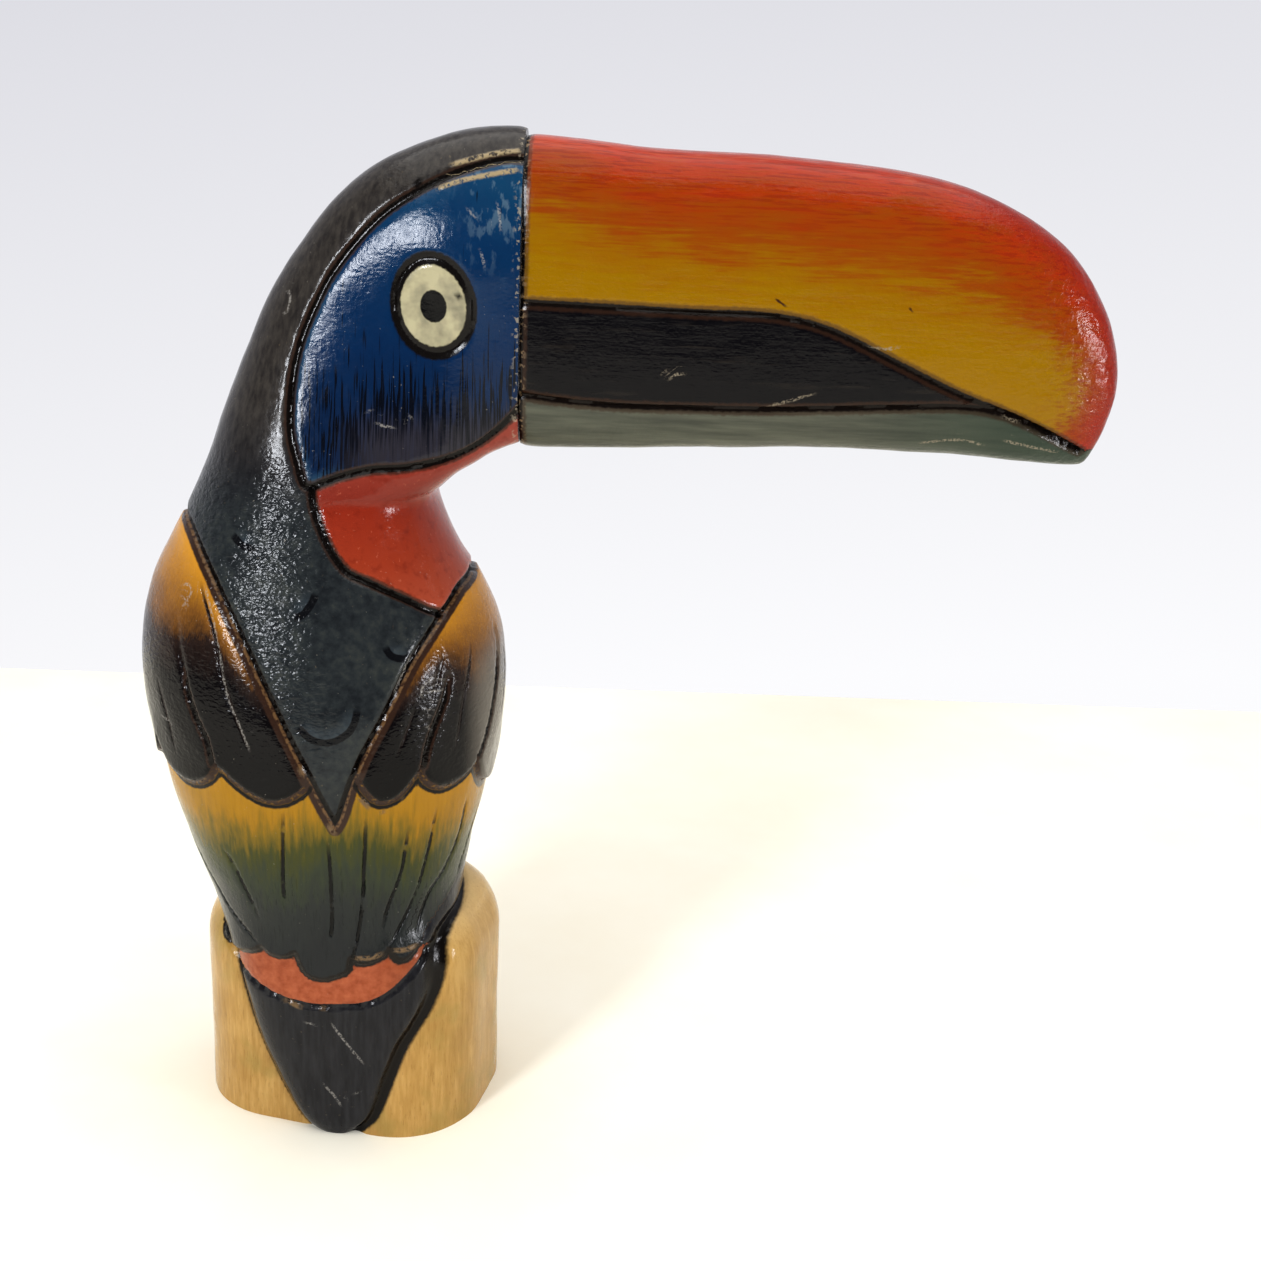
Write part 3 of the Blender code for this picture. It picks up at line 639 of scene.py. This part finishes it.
def store(obj, **values):
    """Keep one number per vertex under each name, for the paint."""
    for name, value in values.items():
        attribute = obj.data.attributes.new(name, "FLOAT", "POINT")
        attribute.data.foreach_set("value", value.astype(np.float32))


toucan = loft("carved_toucan_finish", BIRD_RIBS, 6, 128)
block = perch_block("block")
toucan_tree, block_tree = surface_tree(toucan), surface_tree(block)
join = toucan.modifiers.new("join", "BOOLEAN")
join.operation = "UNION"
join.object = block
even = toucan.modifiers.new("even", "REMESH")
even.mode = "VOXEL"
even.voxel_size = VOXEL
soften = toucan.modifiers.new("soften", "SMOOTH")
soften.iterations = 4
replace_with_result(toucan)
bpy.data.objects.remove(block)

tree = surface_tree(toucan)
points, normals = mesh_points(toucan)
angle = np.degrees(np.arctan2(points[:, 0] - TRUNK_LINE[0], TRUNK_LINE[1] - points[:, 1]))
height = points[:, 2]

left_coverts, right_coverts, wing_tips = map(feather_ends, (LEFT_COVERTS, RIGHT_COVERTS, WING_TIPS))
wing_loop = np.vstack([smooth_rows(LEFT_MANTLE_EDGE, 6), smooth_rows(LEFT_WING_FRONT, 6),
                       smooth_rows(LEFT_FLIGHT_EDGE, 6), wing_tips,
                       smooth_rows(RIGHT_FLIGHT_EDGE, 6)[::-1], smooth_rows(RIGHT_WING_FRONT, 6)[::-1],
                       smooth_rows(RIGHT_MANTLE_EDGE, 6)[::-1]])
mantle_lines = [on_trunk(tree, LEFT_MANTLE_EDGE), on_trunk(tree, RIGHT_MANTLE_EDGE)]
front_lines = [on_trunk(tree, LEFT_WING_FRONT), on_trunk(tree, RIGHT_WING_FRONT)]
flight_lines = [on_trunk(tree, LEFT_FLIGHT_EDGE), on_trunk(tree, RIGHT_FLIGHT_EDGE)]
covert_line = [on_trunk(tree, left_coverts), on_trunk(tree, right_coverts)]
tip_line = on_trunk(tree, wing_tips)
rump_line = on_trunk(tree, RUMP_EDGE)
near_bib = on_trunk(tree, BIB_EDGE)
shoulder = on_trunk(tree, RIGHT_MANTLE_EDGE[6:])
face_lines = [on_side(tree, smooth_rows(FACE_EDGE, 6), side) for side in (-1, 1)]

in_wing = is_inside(angle, height, wing_loop)
to_mantle = distance_to(points, mantle_lines)
to_front = distance_to(points, front_lines)
to_flight_edge = distance_to(points, flight_lines)
to_tips = distance_to(points, [tip_line])
wing = signed(in_wing, np.minimum.reduce([to_mantle, to_front, to_flight_edge, to_tips]))

covert_ends = sorted(map(tuple, np.vstack([left_coverts, right_coverts])))
covert_height = np.interp(angle, *np.array(covert_ends).T)
covert = signed(height > covert_height, distance_to(points, covert_line))

tip_height = np.interp(angle, *np.array(sorted(map(tuple, wing_tips))).T)
rump_height = np.interp(angle, *np.array(RUMP_EDGE).T)
in_rump = (height < tip_height) & (height > rump_height) & (angle > -56) & (angle < 49)
to_rump = distance_to(points, [rump_line])
rump = signed(in_rump, np.minimum(to_tips, to_rump))

in_face = is_inside(points[:, 0], height, smooth_rows(FACE_EDGE, 6))
face = signed(in_face, distance_to(points, face_lines))

mirror_points = points * (1, -1, 1) + (0, 2 * HEAD_MIDDLE, 0)
side_points = np.where((points[:, 1] < HEAD_MIDDLE)[:, None], points, mirror_points)
side_angle = np.degrees(np.arctan2(side_points[:, 0] - TRUNK_LINE[0],
                                   TRUNK_LINE[1] - side_points[:, 1]))
bib_loop = np.vstack([smooth_rows(BIB_EDGE, 6), [(70.8, 143.2), (94.6, 143.6), (125.0, 143.6),
                                                 (125.0, 184.0), (40.0, 184.0), (3.0, 174.0)]])
to_bib = distance_to(points, [near_bib, mirrored(near_bib)])
in_bib = is_inside(side_angle, height, bib_loop) & ~in_face & ~in_wing
bib_away = np.minimum.reduce([to_bib, np.abs(face),
                              distance_to(points, [shoulder, mirrored(shoulder)])])
bib = signed(in_bib, bib_away)

perch = np.array([toucan_tree.find_nearest(point)[3] - block_tree.find_nearest(point)[3]
                  for point in map(Vector, points)])
perch = np.clip(perch, -REACH, REACH)

covert_groove = distance_to(points, [on_trunk(tree, line) for line in COVERT_GROOVES])
marks = {}
for name, trunk_lines, side_lines, half_width, taper in (
        ("flight_cut", FLIGHT_CUTS, [], 0.7, 5.0), ("covert_cut", COVERT_CUTS, [], 0.6, 6.0),
        ("arc", MANTLE_ARCS, [], 1.1, 3.5), ("scuff", SCUFFS_AND_GLINT, FACE_SCUFFS, 0.6, 2.0),
        ("worn", WORN, FACE_WORN, 0.7, 1.5), ("smudge", [], FACE_SMUDGES, 0.8, 1.0)):
    lines = [on_trunk(tree, line) for line in trunk_lines]
    lines += [on_side(tree, smooth_rows(line, 4), -1) for line in side_lines]
    across, strength = strokes(points, normals, lines, half_width, taper)
    marks[name] = across
    marks[name + "_strength"] = strength

lean = math.radians(EYE_LEAN)
eye_x = (points[:, 0] - EYE_CENTRE[0]) * math.cos(lean) + (height - EYE_CENTRE[1]) * math.sin(lean)
eye_z = (height - EYE_CENTRE[1]) * math.cos(lean) - (points[:, 0] - EYE_CENTRE[0]) * math.sin(lean)
eye_share = np.hypot(eye_x / EYE_CREAM[0], eye_z / EYE_CREAM[1])
eye = (eye_share - 1) * sum(EYE_CREAM) / 2
on_head_side = (height > 180) & (points[:, 0] > -5)

mantle = signed(~in_wing, to_mantle)
relief = groove(mantle - 0.5, 2.4, 1.2) - 0.4 * np.exp(-((mantle + 1.2) / 0.9) ** 2)
relief += groove(to_front, 2.8, 1.2)
relief += groove(to_bib, 2.8, 1.2)
relief += edge_step(height - BIB_CREASE, 0.9, 0.8, 4.0) * np.clip(bib, 0, 1)
relief += edge_step(covert, 1.8) * (wing > 0)
relief += groove(covert_groove, 2.4, 0.9) * np.clip((138 - height) / 16, 0, 1)
relief += edge_step(signed(height > tip_height, to_tips), 1.4)
relief += groove(to_rump, 2.2, 0.9)
relief += groove(face, 2.6, 0.9)
from_brow = np.hypot(points[:, 0] - BROW_BULGE[0], height - BROW_BULGE[1])
relief += BROW_RISE * np.exp(-(from_brow / BROW_WIDTH) ** 2 / 2) * np.clip(face / 3, 0, 1)
relief += groove(perch, 2.8, 1.2)
relief += np.where(on_head_side, groove(eye - EYE_RING / 2, EYE_RING, 0.9), 0)
relief += groove(marks["flight_cut"], 1.6, 0.5) * marks["flight_cut_strength"]
relief += groove(marks["covert_cut"], 1.5, 0.35) * marks["covert_cut_strength"]
relief -= 0.6 * np.exp(-np.clip(SEAM - points[:, 0], 0, 20) / SEAM_CHAMFER) * (height > 150)
relief += np.array([noise.noise(Vector(point) * 0.06) * 0.22 + noise.noise(Vector(point) * 0.17) * 0.1
                    for point in points])
store(toucan, wing=wing, mantle=mantle, covert=covert, rump=rump, face=face, bib=bib, perch=perch,
      eye=np.where(on_head_side, eye, REACH), front=to_front, covert_groove=covert_groove,
      bib_groove=to_bib, tips=to_tips, **marks)
toucan.data.vertices.foreach_set("co", (points + normals * relief[:, None]).ravel())
cut_flat(toucan, (0, 0, 0), (0, 0, -1))
cut_flat(toucan, (SEAM, 0, 0), (1, 0, 0))
toucan.data.transform(Matrix.Scale(MM, 4))
toucan.data.shade_smooth()
toucan.data.set_sharp_from_angle(angle=math.radians(60))

wood_paint, start, surface = new_material("painted_wood")
place = place_in_mm(start)
x, z = (start.node("SeparateXYZ", {}, {0: place}, output=index) for index in (0, 2))


def kept(name):
    """A number kept on the vertices."""
    return start.node("Attribute", {"attribute_name": name}, output=2)


def stroke(name, half_width, ragged=0.4):
    """How far a line of one kind covers a place, from 0 to 1."""
    across = (abs(kept(name)) + wobble * ragged).rise(half_width, half_width * 0.35)
    return across * kept(name + "_strength")


wobble = (place.grain(0.9, 2.0) - 0.5) * 0.9
fine = place.grain(2.2, 3.0)
speckle = place.grain(0.9, 4.0)
leather = place.grain(0.5, 5.0)
blotch = place.grain(0.09, 3.0)
brush = place.grain(0.8, 4.0, (1.0, 1.0, 0.12))
hair = place.grain(2.4, 3.0, (1.0, 1.0, 0.06))

# Bare varnished wood of the perch
wood_grain = (place.grain(1.1, 5.0, (1.0, 1.0, 0.12)) * 0.5
              + place.grain(0.12, 3.0, (1.0, 1.0, 0.5)) * 0.5)
colour = wood_grain.ramp(0.36, 0.64, [
    (0.0, tint(158, 122, 66)), (0.5, tint(174, 137, 78)), (1.0, tint(190, 154, 94))])
colour = colour.under(tint(148, 128, 70), blotch.rise(0.48, 0.7) * 0.5)
colour = colour.under(tint(146, 118, 62), x.rise(14.0, 34.0) * 0.2)
# Painted highlight: the rounded top of the perch is painted paler where the light from above falls on it
colour = colour.under(tint(220, 190, 136), z.rise(48.0, 59.0) * 0.6)
pores = place.grain(3.0, 2.0, (1.0, 1.0, 0.12)).rise(0.62, 0.7)
colour = colour.under(tint(122, 90, 48), pores * 0.4)

# Black and charcoal of mantle, nape, tail and belly
black = brush.ramp(0.3, 0.75, [(0.0, tint(26, 26, 29)), (1.0, tint(44, 44, 47))])
mantle_grey = (leather * 0.6 + blotch * 0.4).ramp(0.36, 0.66, [
    (0.0, tint(30, 33, 36)), (0.5, tint(42, 46, 48)), (1.0, tint(54, 57, 55))])
black = black.under(mantle_grey, z.rise(84.0, 104.0) * z.rise(176.0, 158.0))
crown = (brush * 0.8 + leather * 0.2).ramp(0.36, 0.66, [(0.0, tint(42, 39, 38)), (1.0, tint(64, 60, 56))])
black = black.under(crown, z.rise(165.0, 190.0))
black = black.under(tint(104, 92, 74), speckle.rise(0.68, 0.74) * 0.4)
colour = colour.under(black, (kept("perch") + wobble * 0.15).rise(0.25, -0.25))

# Wing coverts: ochre at the shoulder, shaded to near black, with a painted sheen towards the outer right
reach_down = kept("mantle") * -1.0
# Towards the outer right the gradient is lifted: partly lighter paint on the shoulder, partly a painted sheen
# from the light on the right
shade = z + (blotch - 0.5) * 10.0 + reach_down.rise(8.0, 1.0) * 9.0 + x.rise(20.0, 36.0) * 12.0
shade = shade + (hair - 0.5) * 8.0
covert_paint_and_sheen = shade.ramp(104.0, 160.0, [
    (0.0, tint(5, 4, 6)), (0.36, tint(13, 10, 12)), (0.49, tint(42, 31, 27)),
    (0.62, tint(114, 76, 32)), (0.76, tint(156, 108, 36)), (1.0, tint(184, 130, 42))])
# The outermost right lobe is painted grey-brown: partly its paint, partly a painted reflection of the bright
# room on that side
covert_paint_and_sheen = covert_paint_and_sheen.under(tint(110, 104, 95), x.rise(29.5, 35.5) * z.rise(134.0, 122.0) * 0.7)
colour = colour.under(covert_paint_and_sheen, (kept("wing") + wobble * 0.4).rise(-0.2, 0.2))

# Flight feathers: gold, olive, then dark green-grey
shade = z + (brush - 0.5) * 17.0 + (hair - 0.5) * 4.0 + (blotch - 0.5) * 10.0
shade = shade + abs(x + 8.0).rise(18.0, 44.0) * 5.0 - abs(x - 2.0).rise(18.0, 2.0) * 5.0
flight_paint = shade.ramp(52.0, 104.0, [
    (0.0, tint(36, 38, 39)), (0.24, tint(43, 46, 44)), (0.4, tint(52, 58, 43)), (0.54, tint(64, 66, 28)),
    (0.66, tint(112, 92, 26)), (0.78, tint(150, 110, 20)), (1.0, tint(168, 122, 28))])
flight_paint = flight_paint.under(tint(24, 28, 27), hair.rise(0.54, 0.72) * z.rise(84.0, 68.0) * 0.6)
in_flight = (kept("wing") + wobble * 0.3).rise(-0.2, 0.2) * (kept("covert") + wobble * 0.6).rise(0.2, -0.4)
colour = colour.under(flight_paint, in_flight)

# Red-orange rump band
rump_paint = leather.ramp(0.3, 0.7, [(0.0, tint(136, 66, 38)), (1.0, tint(166, 92, 60))])
rump_paint = rump_paint.under(tint(118, 62, 38), x.rise(6.0, 24.0) * 0.6)
colour = colour.under(rump_paint, (kept("rump") + wobble * 0.5).rise(0.5, 0.9))

# Red bib, painted pinker above its crease: a painted sheen of the bright room on that facet, over the red paint
bib_paint_and_sheen = z.ramp(140.0, 176.0, [(0.0, tint(152, 72, 50)), (0.3, tint(140, 56, 34)), (0.65, tint(130, 44, 27)),
                                  (0.72, tint(120, 47, 36)), (1.0, tint(134, 60, 48))])
bib_paint_and_sheen = bib_paint_and_sheen.under(tint(104, 32, 20), place.grain(0.35, 4.0).rise(0.5, 0.75) * 0.5)
bib_paint_and_sheen = bib_paint_and_sheen.under(tint(190, 112, 86), speckle.rise(0.64, 0.74) * 0.3)
colour = colour.under(bib_paint_and_sheen, (kept("bib") + wobble * 0.5).rise(0.3, 0.8))

# Blue face with black brushed up from below
face_paint_and_sheen = (z + (blotch - 0.5) * 30.0).ramp(178.0, 244.0, [
    (0.0, tint(14, 34, 62)), (0.35, tint(10, 40, 74)), (0.7, tint(12, 48, 82)), (1.0, tint(20, 62, 92))])
# Painted sheen: lighter blue along the face's left border, where the surface turns towards the bright room
face_paint_and_sheen = face_paint_and_sheen.under(tint(60, 92, 112), kept("face").rise(3.5, 0.8) * x.rise(4.0, -6.0) * 0.5)
bristles = place.grain(2.2, 1.0, (1.0, 0.15, 0.03))
depth = z.rise(216.0, 176.0) * x.rise(-10.0, 12.0, 0.6, 1.0)
face_paint_and_sheen = face_paint_and_sheen.under(tint(9, 9, 13), (bristles + depth * 0.36).rise(0.72, 0.82) * 0.9)
band = (z + (bristles - 0.5) * 30.0).rise(188.0, 176.0) * x.rise(-4.0, 10.0)
face_paint_and_sheen = face_paint_and_sheen.under(tint(50, 48, 55), band * 0.85)
rubbed = place.grain(0.45, 4.0, (1.0, 1.0, 0.4)).rise(0.54, 0.64) * x.rise(22.0, 34.0) * z.rise(212.0, 234.0)
face_paint_and_sheen = face_paint_and_sheen.under(tint(112, 132, 142), rubbed * 0.35)
colour = colour.under(face_paint_and_sheen, (kept("face") + wobble * 0.3).rise(0.2, 0.7))

# Eye: black ring, cream iris, black pupil
ring_edge = kept("eye") + wobble * 0.7
colour = colour.under(tint(20, 17, 16), ring_edge.rise(EYE_RING + 0.3, EYE_RING - 0.3))
cream = place.grain(0.17, 3.0).ramp(0.4, 0.68, [(0.0, tint(172, 165, 135)), (1.0, tint(122, 118, 100))])
colour = colour.under(cream, ring_edge.rise(0.25, -0.25))
colour = colour.under(tint(7, 7, 9), (kept("eye") + wobble * 0.3).rise(-4.8, -5.2))

# Burnt outlines, with bare wood showing on the ridge beside the deepest
burnt, scorched, ridge = tint(16, 12, 10), tint(52, 36, 28), tint(112, 86, 58)
edge = kept("mantle") + wobble * 0.35
colour = colour.under(scorched, edge.rise(-2.1, -1.6) * edge.rise(0.4, 0.0))
colour = colour.under(ridge, edge.rise(-0.7, -0.35) * edge.rise(0.25, -0.05) * speckle.rise(0.36, 0.56) * 0.8)
colour = colour.under(burnt, edge.rise(-0.1, 0.3) * edge.rise(1.7, 1.3))
cut = kept("front").least(kept("bib_groove")).least(abs(kept("face")))
cut = cut.least(kept("covert_groove") + z.rise(118.0, 136.0) * 3.0)
colour = colour.under(scorched, (cut + wobble * 0.8).rise(1.7, 1.1) * 0.8)
colour = colour.under(burnt, (cut + wobble * 0.35).rise(1.05, 0.7))
colour = colour.under(burnt, (abs(kept("perch")) + wobble * 0.3).rise(1.1, 0.6))
rim = kept("covert") + wobble * 0.6
rim_cover = rim.rise(0.4, 0.0) * kept("wing").rise(0.0, 0.5)
colour = colour.under(tint(54, 39, 32), rim.rise(-1.7, -1.3) * rim_cover * speckle.rise(0.3, 0.5, 0.6, 1.0))
colour = colour.under(burnt, rim.rise(-2.7, -2.2) * rim.rise(-1.2, -1.7) * kept("wing").rise(0.0, 0.5))
colour = colour.under(tint(28, 24, 21), (kept("tips") + wobble).rise(1.3, 0.7))
dashes = place.grain(0.22, 2.0).rise(0.36, 0.46)
feather_cut = stroke("flight_cut", 0.62) * dashes
colour = colour.under(tint(12, 12, 12), feather_cut * z.rise(96.0, 80.0, 0.6, 1.0))
covert_cut = stroke("covert_cut", 0.6)
colour = colour.under(tint(30, 22, 20), covert_cut)
colour = colour.under(tint(62, 72, 80), kept("arc").rise(-4.5, -1.0) * kept("arc").rise(-0.5, -1.0)
                      * kept("arc_strength") * speckle * 0.7)
colour = colour.under(tint(16, 17, 20), (abs(kept("arc")) + wobble * 0.4).rise(1.0, 0.7)
                      * kept("arc_strength").rise(0.05, 0.4))

# Wear: rubbed ridges, chips at the seam, scuffs and hairlines, and one painted glint drawn with the scuffs
colour = colour.under(tint(18, 15, 14), stroke("smudge", 1.1, 1.2))
worn = stroke("worn", 0.9, 0.8) * speckle.rise(0.34, 0.5)
rubbed_wood = z.ramp(100.0, 220.0, [(0.0, tint(108, 88, 64)), (1.0, tint(150, 134, 104))])
colour = colour.under(rubbed_wood, worn)
# Pale scuff lines, and among them one painted glint along the right mantle edge
colour = colour.under(tint(158, 154, 148), stroke("scuff", 0.45, 0.8) * fine.rise(0.42, 0.56) * 0.55)
chips = x.rise(SEAM - 2.2, SEAM - 0.2) * z.rise(150.0, 180.0) * speckle.rise(0.56, 0.62)
colour = colour.under(tint(150, 140, 122), chips * 0.7)
specks = place.grain(1.6, 1.0).rise(0.77, 0.82) * z.rise(60.0, 64.0, 0.3, 1.0)
colour = colour.under(tint(150, 144, 132), specks * 0.5)
feed(surface, "Base Color", colour)

painted = kept("perch").rise(0.2, -0.2)
feed(surface, "Roughness", (leather * 0.7 + blotch * 0.3).rise(0.34, 0.68, 0.12, 0.24))
surface.inputs["Specular IOR Level"].default_value = 0.22
wrinkled = z.rise(92.0, 112.0) * z.rise(180.0, 164.0) * kept("mantle").rise(0.0, 2.0) * x.rise(8.0, -10.0)
wrinkled = wrinkled + kept("wing").rise(0.0, 2.0) * z.rise(98.0, 106.0) * 0.35
wrinkles = abs(place.grain(0.32, 2.0, (1.0, 1.0, 1.8)) - 0.5) * 0.8 + place.grain(0.9, 2.0) * 0.08
lumps = wrinkles * (wrinkled + 0.12) + speckle * 0.06 + brush * 0.06 + hair * in_flight * 0.08
lumps = lumps + worn * 0.2 + feather_cut * -0.3 + covert_cut * -0.2
lumps = lumps + wood_grain * painted.rise(1.0, 0.0) * 0.15
bump = start.node("Bump", {}, {"Height": lumps, "Distance": MM, "Strength": 0.8})
feed(surface, "Normal", bump)
toucan.data.materials.clear()
toucan.data.materials.append(wood_paint)
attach(toucan, "root")
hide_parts("carved_toucan")


# The bill
#
# A second piece of the same wood, a thick board rounded all over and glued to the flat
# front of the head. Its black stripe is edged by two cuts; the paint runs from red over
# orange to yellow, and grey-green below.

BILL_LENGTH = 143.0
BILL_HALF = 14.75
SEAM_GAP = 0.3


def bill_rib(top, bottom, share):
    """A rib of the bill, with x from the seam."""
    return (SEAM + top[0], top[1], SEAM + bottom[0], bottom[1], HEAD_MIDDLE, BILL_HALF * share, 2.8, 2.8)


BILL_RIBS = [
    bill_rib((-3.0, 248.4), (-3.0, 175.6), 1.0),
    bill_rib((8.0, 247.8), (7.0, 175.4), 1.0),
    bill_rib((30.0, 246.2), (27.0, 176.2), 1.0),
    bill_rib((56.0, 245.6), (49.0, 177.2), 1.0),
    bill_rib((82.0, 244.0), (74.0, 178.2), 0.98),
    bill_rib((101.0, 240.6), (95.0, 178.0), 0.95),
    bill_rib((116.0, 234.8), (109.0, 177.6), 0.89),
    bill_rib((127.0, 227.2), (119.0, 177.0), 0.81),
    bill_rib((134.6, 218.0), (126.0, 176.6), 0.70),
    bill_rib((139.4, 208.4), (130.5, 176.3), 0.57),
    bill_rib((141.8, 198.0), (133.5, 176.2), 0.43),
    bill_rib((140.6, 188.0), (135.8, 176.6), 0.27),
    bill_rib((138.4, 180.6), (136.9, 177.8), 0.08),
]
STRIPE_TOP = [(-2.0, 211.8), (23.1, 211.5), (41.4, 211.2), (57.4, 211.2), (71.4, 208.5),
              (88.2, 201.1), (102.9, 194.5), (117.8, 188.9), (134.1, 180.7)]
STRIPE_BOTTOM = [(-2.0, 190.2), (19.3, 188.4), (42.7, 188.5), (66.0, 189.3), (89.3, 190.8),
                 (103.3, 191.4), (112.9, 190.2), (123.0, 186.5), (134.1, 180.7)]

BILL_SCUFFS = [
    [(33.0, 196.1), (34.8, 197.8)],
    [(34.6, 195.2), (36.8, 196.6), (39.0, 196.9)],
    [(58.1, 189.7), (63.4, 191.4), (69.5, 193.6)],
    [(80.3, 205.2), (84.2, 204.6), (88.0, 205.3)],
    [(94.8, 181.6), (104.1, 183.1), (110.7, 181.9)],
    [(113.0, 189.5), (115.2, 188.8), (118.6, 187.9)],
    [(114.4, 183.6), (122.0, 182.0), (128.8, 180.7)],
]
BILL_NICKS = [
    [(89.1, 214.4), (89.9, 213.4)],
    [(58.3, 215.2), (61.0, 213.4)],
]

bill = loft("bill_finish", BILL_RIBS, 12, 240)
even = bill.modifiers.new("even", "REMESH")
even.mode = "VOXEL"
even.voxel_size = 0.85
soften = bill.modifiers.new("soften", "SMOOTH")
soften.iterations = 3
replace_with_result(bill)
tree = surface_tree(bill)
points, normals = mesh_points(bill)
height = points[:, 2]
edges = {}
for name, line in (("stripe_top", STRIPE_TOP), ("stripe_bottom", STRIPE_BOTTOM)):
    drawn = smooth_rows(line, 6) + (SEAM, 0)
    lines = [on_side(tree, drawn, side) for side in (-1, 1)]
    above = height > np.interp(points[:, 0], *drawn.T)
    edges[name] = signed(above, distance_to(points, lines))
relief = groove(edges["stripe_top"], 2.4, 0.9) + groove(edges["stripe_bottom"], 2.4, 0.9)
relief -= 0.6 * np.exp(-np.clip(points[:, 0] - SEAM - SEAM_GAP, 0, 20) / SEAM_CHAMFER)
relief += np.array([noise.noise(Vector(point) * 0.06) * 0.2 + noise.noise(Vector(point) * 0.17) * 0.1
                    for point in points])
outline = smooth_rows(BILL_RIBS, 6)[:, [0, 4, 1]]
edges["from_top"] = distance_to(points, [outline], 60.0)
for name, drawn, half_width, taper in (("scuff", BILL_SCUFFS, 0.5, 1.5), ("nick", BILL_NICKS, 0.8, 0.4)):
    lines = [on_side(tree, smooth_rows(line, 4) + (SEAM, 0), -1) for line in drawn]
    edges[name], edges[name + "_strength"] = strokes(points, normals, lines, half_width, taper)
store(bill, **edges)
bill.data.vertices.foreach_set("co", (points + normals * relief[:, None]).ravel())
cut_flat(bill, (SEAM + SEAM_GAP, 0, 0), (-1, 0, 0))
bill.data.transform(Matrix.Scale(MM, 4))
bill.data.shade_smooth()
bill.data.set_sharp_from_angle(angle=math.radians(60))

bill_paint, start, surface = new_material("painted_bill")
place = place_in_mm(start)
x = start.node("SeparateXYZ", {}, {0: place}, output=0) - SEAM
z = start.node("SeparateXYZ", {}, {0: place}, output=2)
wobble = (place.grain(0.9, 2.0) - 0.5) * 0.9
streak = place.grain(0.5, 5.0, (0.1, 1.0, 1.0))
blotch = place.grain(0.07, 3.0)
tip = x.rise(100.0, 125.0) * z.rise(222.0, 190.0)
fine_streak = place.grain(1.5, 3.0, (0.06, 1.0, 1.0))
level = (kept("from_top") - 6.0) * (1 + tip * 1.3) + (streak - 0.5) * 18.0 + (blotch - 0.5) * 9.0
level = level + (fine_streak - 0.5) * 14.0 + x.rise(30.0, 0.0) * 4.0
colour = level.ramp(0.0, 30.0, [
    (0.0, tint(158, 46, 20)), (0.14, tint(154, 52, 14)), (0.32, tint(140, 58, 10)),
    (0.55, tint(134, 68, 9)), (0.74, tint(136, 92, 5)), (1.0, tint(138, 102, 3))])
# Painted reflection: the top of the bill is painted pinker near the root and in pale streaks along the top
# edge, standing in for the ceiling light reflected there
colour = colour.under(tint(196, 84, 62), kept("from_top").rise(9.0, 3.0) * x.rise(46.0, 6.0) * 0.5)
colour = colour.under(tint(196, 100, 70), fine_streak.rise(0.54, 0.64)
                      * kept("from_top").rise(9.0, 2.0) * 0.5)
colour = colour.under(tint(116, 38, 16), fine_streak.rise(0.5, 0.4)
                      * kept("from_top").rise(26.0, 10.0) * 0.55)
colour = colour.under(tint(118, 38, 18), kept("from_top").rise(10.0, 2.0) * x.rise(94.0, 118.0) * 0.6)
colour = colour.under(tint(104, 60, 22), kept("from_top").rise(6.0, 2.0)
                      * x.rise(112.0, 128.0) * z.rise(210.0, 190.0))
brow_end = (x + z * 0.5 + (blotch - 0.5) * 30.0).rise(206.0, 228.0)
colour = colour.under(tint(128, 34, 26), brow_end * kept("from_top").rise(16.0, 4.0) * 0.8)
colour = colour.under(tint(12, 11, 15), (kept("stripe_top") + wobble * 0.3).rise(0.2, -0.2))
colour = colour.under(tint(34, 30, 27), streak.rise(0.56, 0.7) * kept("stripe_top").rise(0.0, -1.0) * 0.7)
lower = streak.ramp(0.3, 0.7, [(0.0, tint(66, 68, 60)), (1.0, tint(90, 92, 80))])
lower = lower.under(tint(44, 58, 48), x.rise(70.0, 125.0) * 0.8)
colour = colour.under(lower, (kept("stripe_bottom") + wobble * 0.3).rise(0.2, -0.2))
cut = abs(kept("stripe_top")).least(abs(kept("stripe_bottom"))).least(x - SEAM_GAP)
colour = colour.under(tint(58, 38, 26), (cut + wobble).rise(2.0, 1.2) * 0.6)
colour = colour.under(tint(20, 14, 11), (cut + wobble * 0.6).rise(1.0, 0.5))
colour = colour.under(tint(60, 36, 20), stroke("nick", 0.4, 0.6))
colour = colour.under(tint(140, 130, 112), stroke("scuff", 0.5, 1.0)
                      * place.grain(2.2).rise(0.42, 0.56) * 0.7)
chips = x.rise(2.4, 0.4) * place.grain(0.9, 4.0).rise(0.54, 0.62)
colour = colour.under(tint(140, 118, 92), chips * 0.7)
feed(surface, "Base Color", colour)
feed(surface, "Roughness", place.grain(0.3, 4.0).rise(0.3, 0.7, 0.14, 0.26))
surface.inputs["Specular IOR Level"].default_value = 0.2
lumps = place.grain(0.25, 3.0) * x.rise(104.0, 126.0) * 0.6 + place.grain(0.7, 3.0) * 0.14
lumps = lumps + streak * 0.16 + place.grain(2.0, 2.0, (0.2, 1.0, 1.0)) * 0.05
feed(surface, "Normal", start.node("Bump", {}, {"Height": lumps, "Distance": MM, "Strength": 0.8}))
bill.data.materials.clear()
bill.data.materials.append(bill_paint)
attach(bill, "root")
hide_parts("bill")
